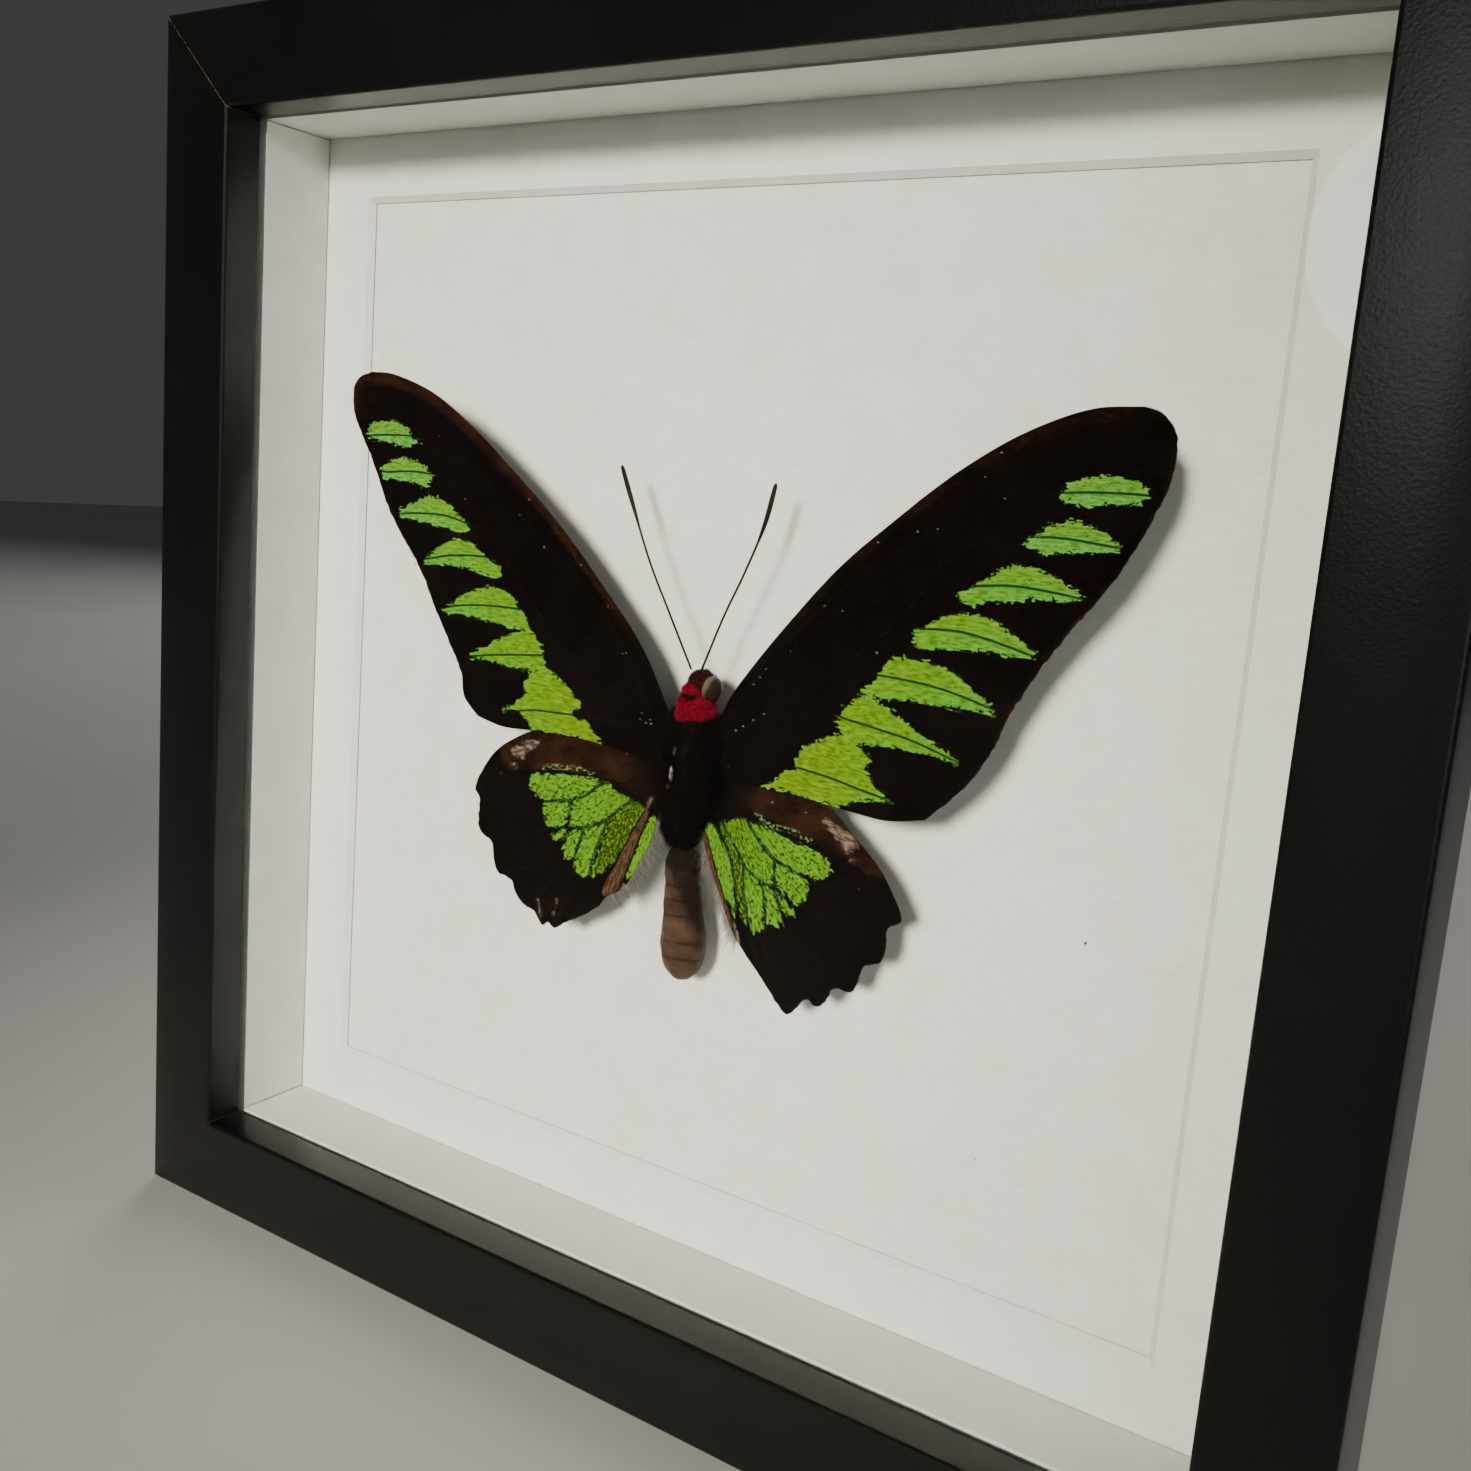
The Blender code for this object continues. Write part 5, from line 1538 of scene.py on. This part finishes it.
head = drawRings("headShell", bodyRings(headBody["rings"], headBody["centreX"]))
finer(head, 2)
roughen(head, 0.2, 0.9, 7.0)
head.data.materials.append(shellMaterial("headShell", headBody["shell"]))
eyeLens = eyeMaterial()
eyes = []
for (x, depth, z), label in zip(headBody["eyes"], ("Right", "Left")):
    eye = addSphere("eye" + label, 48, 32, headBody["eyeRadius"] * mm, place(x, depth, z))
    eye.scale = headBody["eyeShape"]
    bpy.ops.object.transform_apply(location=True, rotation=True, scale=True)
    eye.data.materials.append(eyeLens)
    eyes.append(eye)
points, normals = rootsOn(head, headBody["hairs"], lambda normals: normals[:, 1] < 0.5)
count = len(points)
heading = normals + np.array([0, 0, -0.3]) + 0.35 * dice.normal(size=(count, 3))
headFur = growStrands("headFur", points, heading, 0.3 + 0.5 * dice.random(count),
                      0.05 + 0.04 * dice.random(count), 0.1 * dice.random(count), dice.random(count))
headFur.data.materials.append(furMaterial("brownFur", *headBody["fur"], spec=0.08))
settle(head, ["head"])
settle(headFur)
for eye in eyes:
    settle(eye)
print("thorax, collar and head done")


abdomenShape = {
    # centre x, depth, z and radius down its length
    "line": [(1.6, 19.7, -24.6, 3.0), (0.95, 19.9, -28.0, 3.4), (0.95, 20.2, -32.0, 3.45),
             (1.2, 20.6, -36.5, 3.85), (1.45, 20.9, -41.0, 4.3), (1.4, 21.1, -44.5, 4.4),
             (1.3, 21.4, -47.6, 3.95), (1.2, 21.5, -49.7, 2.7), (1.2, 21.6, -50.8, 0.9)],
    "joints": [-24.6, -28.4, -31.8, -34.6, -37.4, -42.3, -45.6, -50.8],
    "groove": 0.08,
    "dark": (0.024, 0.0105, 0.0060, 1),
    "light": (0.070, 0.039, 0.0250, 1),
    "grain": (0.080, 0.050, 0.036, 1),
    "jointLine": (0.006, 0.003, 0.002, 1),
    # painted shade colour, for the right side and the top under the thorax
    "shade": (0.0045, 0.0026, 0.002, 1),
    "flake": (0.20, 0.17, 0.145, 1),
}


def makeAbdomen():
    # each segment swells a little and ends in a fine groove
    shape = abdomenShape
    line = np.array(shape["line"])[::-1]
    rings = []
    for high, low in zip(shape["joints"], shape["joints"][1:]):
        for part, sink in ((0.0, 1.0), (0.05, 0.35), (0.14, 0.0), (0.5, -0.35), (0.86, -0.1), (0.95, 0.15)):
            z = high + (low - high) * part
            x, depth, radius = (float(np.interp(z, line[:, 2], line[:, k])) for k in (0, 1, 3))
            radius -= shape["groove"] * sink
            rings.append((x, depth, z, radius, radius * 0.95))
    tip = shape["line"][-1]
    rings.append((tip[0], tip[1], tip[2], 0.5, 0.5))
    piece = drawRings("abdomenShell", rings[::-1], 32)
    finer(piece, 2)
    roughen(piece, 0.20, 0.30, 2.0)
    roughen(piece, 0.05, 1.8, 9.0)
    return piece


def abdomenMaterial():
    look = abdomenShape
    material, tree, shader = newMaterial("abdomenShell", {"Specular IOR Level": 0.10})
    coords = objectCoords(tree)
    grain = useGroup(tree, fineGrain, {"Vector": coords, "Scale": 1100.0, "Contrast": 1.6})
    mottle = fade(tree, noiseOf(tree, coords, 190.0, (1, 1, 1.4), detail=5.0, roughness=0.6), 0.36, 0.66)
    color = blend(tree, mottle, look["dark"], look["light"])
    color = tint(tree, color, grain["Shade"], 0.22, look["grain"])
    position = addNode(tree, "SeparateXYZ", {0: coords}).outputs
    ragged = wave(tree, noiseOf(tree, coords, 330.0), 0.010)
    wavy = total(tree, position["Z"], wave(tree, noiseOf(tree, coords, 260.0), 0.0016))
    for joint in look["joints"][1:-1]:      # thin dark line at each joint
        gap = calc(tree, "ABSOLUTE", calc(tree, "SUBTRACT", wavy, place(0, 0, joint).z))
        color = tint(tree, color, fade(tree, gap, 0.00038, 0.00008), 0.6, look["jointLine"])
    # painted shade on the upper right side of the abdomen
    shadowSide = total(tree, position["Z"], times(tree, position["X"], 2.2), ragged)
    color = tint(tree, color, fade(tree, shadowSide, 0.0930, 0.0985), 0.85, look["shade"])
    upper = total(tree, position["Z"], times(tree, ragged, 0.5))      # painted shade, darker up to the thorax fur
    upper = fade(tree, upper, place(0, 0, -31.5).z, place(0, 0, -26.5).z)
    color = tint(tree, color, upper, 0.85, look["shade"])
    flakes = fade(tree, cellsOf(tree, coords, 500.0, "Distance"), 0.20, 0.10)
    flakes = times(tree, flakes, fade(tree, noiseOf(tree, coords, 180.0), 0.60, 0.68))
    color = tint(tree, color, flakes, 0.7, look["flake"])
    finishWith(tree, shader, color, calc(tree, "MULTIPLY_ADD", mottle, -0.12, 0.58),
               bump(tree, grain["Height"], 0.0001, 0.5))
    return material


abdomen = makeAbdomen()
abdomen.data.materials.append(abdomenMaterial())
settle(abdomen, ["abdomen"], 60)

antennaShape = {
    "depth": 17.8, "shaft": 0.22, "club": 0.46,
    "left": [(0.9, 8.2), (-5, 18.2), (-9.8, 26.5), (-14.4, 36.4), (-17.4, 43.2)],
    "right": [(3.1, 8.4), (7, 18.6), (10.2, 25.7), (13.6, 34.4), (15.4, 42.1)],
    "shell": {"dark": (0.003, 0.0018, 0.0014, 1), "light": (0.016, 0.0095, 0.0075, 1), "scale": 3000.0,
              "contrast": 1.5, "roughness": (0.2, 0.35), "relief": 0.00004, "specular": 0.2},
}


def makeAntenna(name, points):
    # a round line with its radius growing into the club, turned into a mesh
    path = smoothPath(points, 90)
    deselectAll()
    bpy.ops.curve.primitive_nurbs_path_add(location=(0, 0, 0))
    piece = named(name)
    curve = piece.data
    curve.splines.clear()
    curve.bevel_depth = antennaShape["shaft"] * mm
    curve.bevel_resolution = 3
    curve.use_fill_caps = True
    line = curve.splines.new("POLY")
    line.points.add(len(path) - 1)
    grow = antennaShape["club"] / antennaShape["shaft"] - 1
    for index, (point, here) in enumerate(zip(line.points, path)):
        u = index / (len(path) - 1)
        club = max(0.0, (u - 0.70) / 0.30)
        swell = math.sin(min(1.0, club * 1.1) * math.pi * 0.72)
        end = math.sqrt(max(0.02, 1 - max(0.0, (u - 0.975) / 0.026) ** 2))
        joint = 1 - 0.07 * (index % 2) * (1 - club)
        point.co = (*place(here[0], antennaShape["depth"], here[1]), 1)
        point.radius = (1 + grow * swell) * end * joint
    bpy.ops.object.convert(target="MESH")
    piece = named(name)
    editMode(piece)
    bpy.ops.mesh.select_all(action="SELECT")
    bpy.ops.mesh.remove_doubles(threshold=0.000005)
    bpy.ops.mesh.normals_make_consistent(inside=False)
    bpy.ops.object.mode_set(mode="OBJECT")
    return piece


antennaShell = shellMaterial("antennaShell", antennaShape["shell"])
for side in ("left", "right"):
    antenna = makeAntenna("antenna" + side.capitalize(), antennaShape[side])
    dress(antenna, antennaShell)
    settle(antenna, ["antenna_" + side], 60)
print("abdomen and antennae done")


# Loose hair along the inner edges of the hindwings

def innerHair(name, wing, span, headingTo, count, lengthRange, shadeLow):
    plane = planes[wing["name"]]
    share = span[0] + (span[1] - span[0]) * dice.random(count)
    flat = plane.along(plane.inner, share) + dice.normal(size=(count, 2)) * 0.25
    depth = wing["rootDepth"] - wing["slope"] * np.abs(flat[:, 0] - bodyX) + 0.05
    roots = np.column_stack([flat[:, 0], depth, flat[:, 1]])
    heading = np.array(headingTo) + 0.28 * dice.normal(size=(count, 3))
    lengths = between(lengthRange, dice.random(count) ** 1.5)
    return growStrands(name, roots, heading, lengths, 0.035 + 0.03 * dice.random(count),
                       0.35 * dice.random(count), between((shadeLow, 1), dice.random(count)))


greyFur = furMaterial("greyFur", (0.008, 0.006, 0.005, 1), (0.24, 0.22, 0.20, 1))
hairLeft = innerHair("innerHairLeft", hindwingLeft, (0.02, 0.85), (0.70, 0.30, -0.75), 950, (1.3, 4.2), 0.3)
hairRight = innerHair("innerHairRight", hindwingRight, (0.02, 0.95), (-0.50, 0.35, -0.80), 1300, (1.4, 4.6),
                      0.4)
for piece in (hairLeft, hairRight):
    piece.data.materials.append(greyFur)
    settle(piece)


# Short fringe of scales along the outer margins

def marginFringe(name, wing, density=9):
    plane = planes[wing["name"]]
    edge = plane.margin
    length = np.linalg.norm(np.diff(edge, axis=0), axis=1).sum()
    count = int(length * density)
    share = dice.random(count)
    flat = plane.along(edge, share)
    ahead = plane.along(edge, np.clip(share + 0.01, 0, 1)) - plane.along(edge, np.clip(share - 0.01, 0, 1))
    outward = np.column_stack([ahead[:, 1], -ahead[:, 0]])
    outward /= np.linalg.norm(outward, axis=1)[:, None] + 1e-9
    inwards = np.array([bodyX, -5]) - flat
    outward *= -np.sign((outward * inwards).sum(axis=1))[:, None]
    depth = wing["rootDepth"] - wing["slope"] * np.abs(flat[:, 0] - bodyX)
    roots = np.column_stack([flat[:, 0] - outward[:, 0] * 0.12, depth, flat[:, 1] - outward[:, 1] * 0.12])
    heading = np.column_stack([outward[:, 0], 0.12 * dice.normal(size=count), outward[:, 1]])
    heading += 0.35 * dice.normal(size=(count, 3)) * [1, 0.3, 1]
    palest = dice.random(count) > 0.93
    lengths = 0.18 + 0.22 * dice.random(count) + 0.15 * palest
    return growStrands(name, roots, heading, lengths, 0.05 + 0.03 * dice.random(count),
                       0.05 * dice.random(count),
                       np.where(palest, 0.5 + 0.5 * dice.random(count), 0.12 * dice.random(count)))


for wing in wings:
    fringe = marginFringe(wing["name"] + "Fringe", wing)
    fringe.data.materials.append(greyFur)
    settle(fringe)


# Loose pale scales and dust bits on the wings: x and z as seen from the front
looseBits = {
    "forewingLeft": [(-58, 46), (-38, 32.5), (-36, 35.5), (-32, 27), (-25, 26), (-23.5, 24.5), (-17, 17.5),
                     (-16, 13.5), (-12.5, 9.5), (-15, 3), (-51, 34.5), (-9, 3), (-8, 1), (-6.5, -2),
                     (-7.3, -2.7), (-8.6, -2.2), (-11, -3.9), (-13.3, 9.3), (-8.3, -1), (-6.2, -2.7),
                     (-62.6, 20.9), (-59, 15.9), (-65, 25.1)],
    "forewingRight": [(57, 49.3), (54.7, 45.5), (58.3, 42.5), (47.5, 37), (44, 36.3), (37, 34), (28, 22.7),
                      (31.5, 22.3), (38.7, 16.3), (22, 14.3), (12, -1), (13.5, 0), (15.5, 1.4), (17.6, 2.8),
                      (11, -7.7), (15, 7.6), (16.2, 9), (17.3, 10.6)],
    "hindwingLeft": [(-29.5, -14.9), (-12, -9.4), (-41, -18), (-27.5, -14.2), (-33, -11.4)],
    "hindwingRight": [(36.4, -19.5), (27, -13), (20, -12.6), (38.5, -24), (31, -30)],
    "size": (0.10, 0.24),
}


def makeBits(wing):
    # thin five-sided flakes, each a little turned and bent off the wing
    corners, faces = [], []
    for x, z in looseBits[wing["name"]]:
        depth = wing["rootDepth"] - wing["slope"] * abs(x - bodyX) - wing["camber"] - 0.30
        radius = random.uniform(*looseBits["size"])
        start, stretch = random.uniform(0, 6.3), random.uniform(0.5, 1.0)
        first = len(corners)
        for layer in (0, 0.05):
            for k in range(5):
                angle = start + 2 * math.pi * k / 5
                u, v = radius * math.cos(angle), radius * stretch * math.sin(angle)
                corners.append((x + u, depth + 0.35 * u + layer, z + v))
        faces.append([first + k for k in (4, 3, 2, 1, 0)])
        faces.append([first + 5 + k for k in range(5)])
        faces += [[first + k, first + (k + 1) % 5, first + 5 + (k + 1) % 5, first + 5 + k] for k in range(5)]
    mesh = bpy.data.meshes.new(wing["name"] + "Bits")
    mesh.from_pydata(placeAll(corners).tolist(), [], faces)
    piece = bpy.data.objects.new(wing["name"] + "Bits", mesh)
    bpy.context.collection.objects.link(piece)
    editMode(piece)
    bpy.ops.mesh.select_all(action="SELECT")
    bpy.ops.mesh.normals_make_consistent(inside=False)
    bpy.ops.object.mode_set(mode="OBJECT")
    return piece


def bitMaterial():
    material, tree, shader = newMaterial("paleScale", {"Roughness": 0.5})
    mottle = noiseOf(tree, objectCoords(tree), 1500.0)
    finishWith(tree, shader, blend(tree, mottle, (0.03, 0.025, 0.025, 1), (0.17, 0.15, 0.145, 1)))
    return material


paleScale = bitMaterial()
for wing in wings:
    bits = makeBits(wing)
    bits.data.materials.append(paleScale)
    settle(bits)
print("hair, fringes and loose scales done")


# Floor, light and camera
studio = {
    "floor": ((0.50, 0.49, 0.47, 1), (0.56, 0.55, 0.53, 1)),
    "sky": (0.82, 0.83, 0.85, 1),
    "skyStrength": 0.06,
    # a wide soft spot: place, aim, cone in degrees, radius, power, colour
    "key": ((0.10, -1.15, 0.44), (-0.042, 0, 0.106), 15.5, 0.20, 345.0, (1.0, 0.945, 0.79)),
    # round area lights: place, aim, size, power, colour
    "rail": ((-0.02, -1.2, 0.43), (0.118, 0, 0.2), 0.24, 1.3, (1.0, 0.99, 0.97)),
    "fill": ((0.9, -1.0, 0.35), (0, 0, 0.1), 0.9, 3.0, (1.0, 0.98, 0.95)),
    "back": ((-0.75, 1.25, 0.9), (0, 0, 0.1), 0.9, 9.0, (1.0, 0.98, 0.96)),
    "cameraPlace": (0.13715, -0.20900, 0.16594),
    "cameraTurn": (80.891, -4.620, 31.334),
    "lens": 33.80,
    "shift": (-0.01917, -0.01686),
}
deselectAll()
bpy.ops.mesh.primitive_plane_add(size=6, location=(0, 0, -0.0004))
floor = named("floor")
floorMaterial, tree, shader = newMaterial("paleFloor", {"Roughness": 0.7})
finishWith(tree, shader, blend(tree, noiseOf(tree, objectCoords(tree), 8.0), *studio["floor"]))
floor.data.materials.append(floorMaterial)

world = bpy.data.worlds.new("studio")
bpy.context.scene.world = world
world.use_nodes = True
world.node_tree.nodes["Background"].inputs["Color"].default_value = studio["sky"]
world.node_tree.nodes["Background"].inputs["Strength"].default_value = studio["skyStrength"]


def addLamp(name, kind, location, aim, power, color):
    light = bpy.data.lights.new(name, kind)
    light.energy = power
    light.color = color
    lamp = bpy.data.objects.new(name, light)
    bpy.context.collection.objects.link(lamp)
    lamp.location = location
    lamp.rotation_euler = (Vector(aim) - Vector(location)).to_track_quat("-Z", "Y").to_euler()
    return lamp


location, aim, cone, radius, power, color = studio["key"]
key = addLamp("keyLight", "SPOT", location, aim, power, color)
key.data.spot_size = math.radians(cone)
key.data.spot_blend = 1.0
key.data.shadow_soft_size = radius
key.visible_glossy = False      # no picture of the lamp in the glass
for name in ("rail", "fill", "back"):
    location, aim, size, power, color = studio[name]
    lamp = addLamp(name + "Light", "AREA", location, aim, power, color)
    lamp.data.shape = "DISK"
    lamp.data.size = size

camera = bpy.data.objects.new("camera", bpy.data.cameras.new("camera"))
bpy.context.collection.objects.link(camera)
camera.location = studio["cameraPlace"]
camera.rotation_euler = [math.radians(angle) for angle in studio["cameraTurn"]]
camera.data.sensor_width = 36
camera.data.lens = studio["lens"]
camera.data.shift_x, camera.data.shift_y = studio["shift"]
camera.data.clip_start = 0.005
bpy.context.scene.camera = camera
print("floor, light and camera ready")
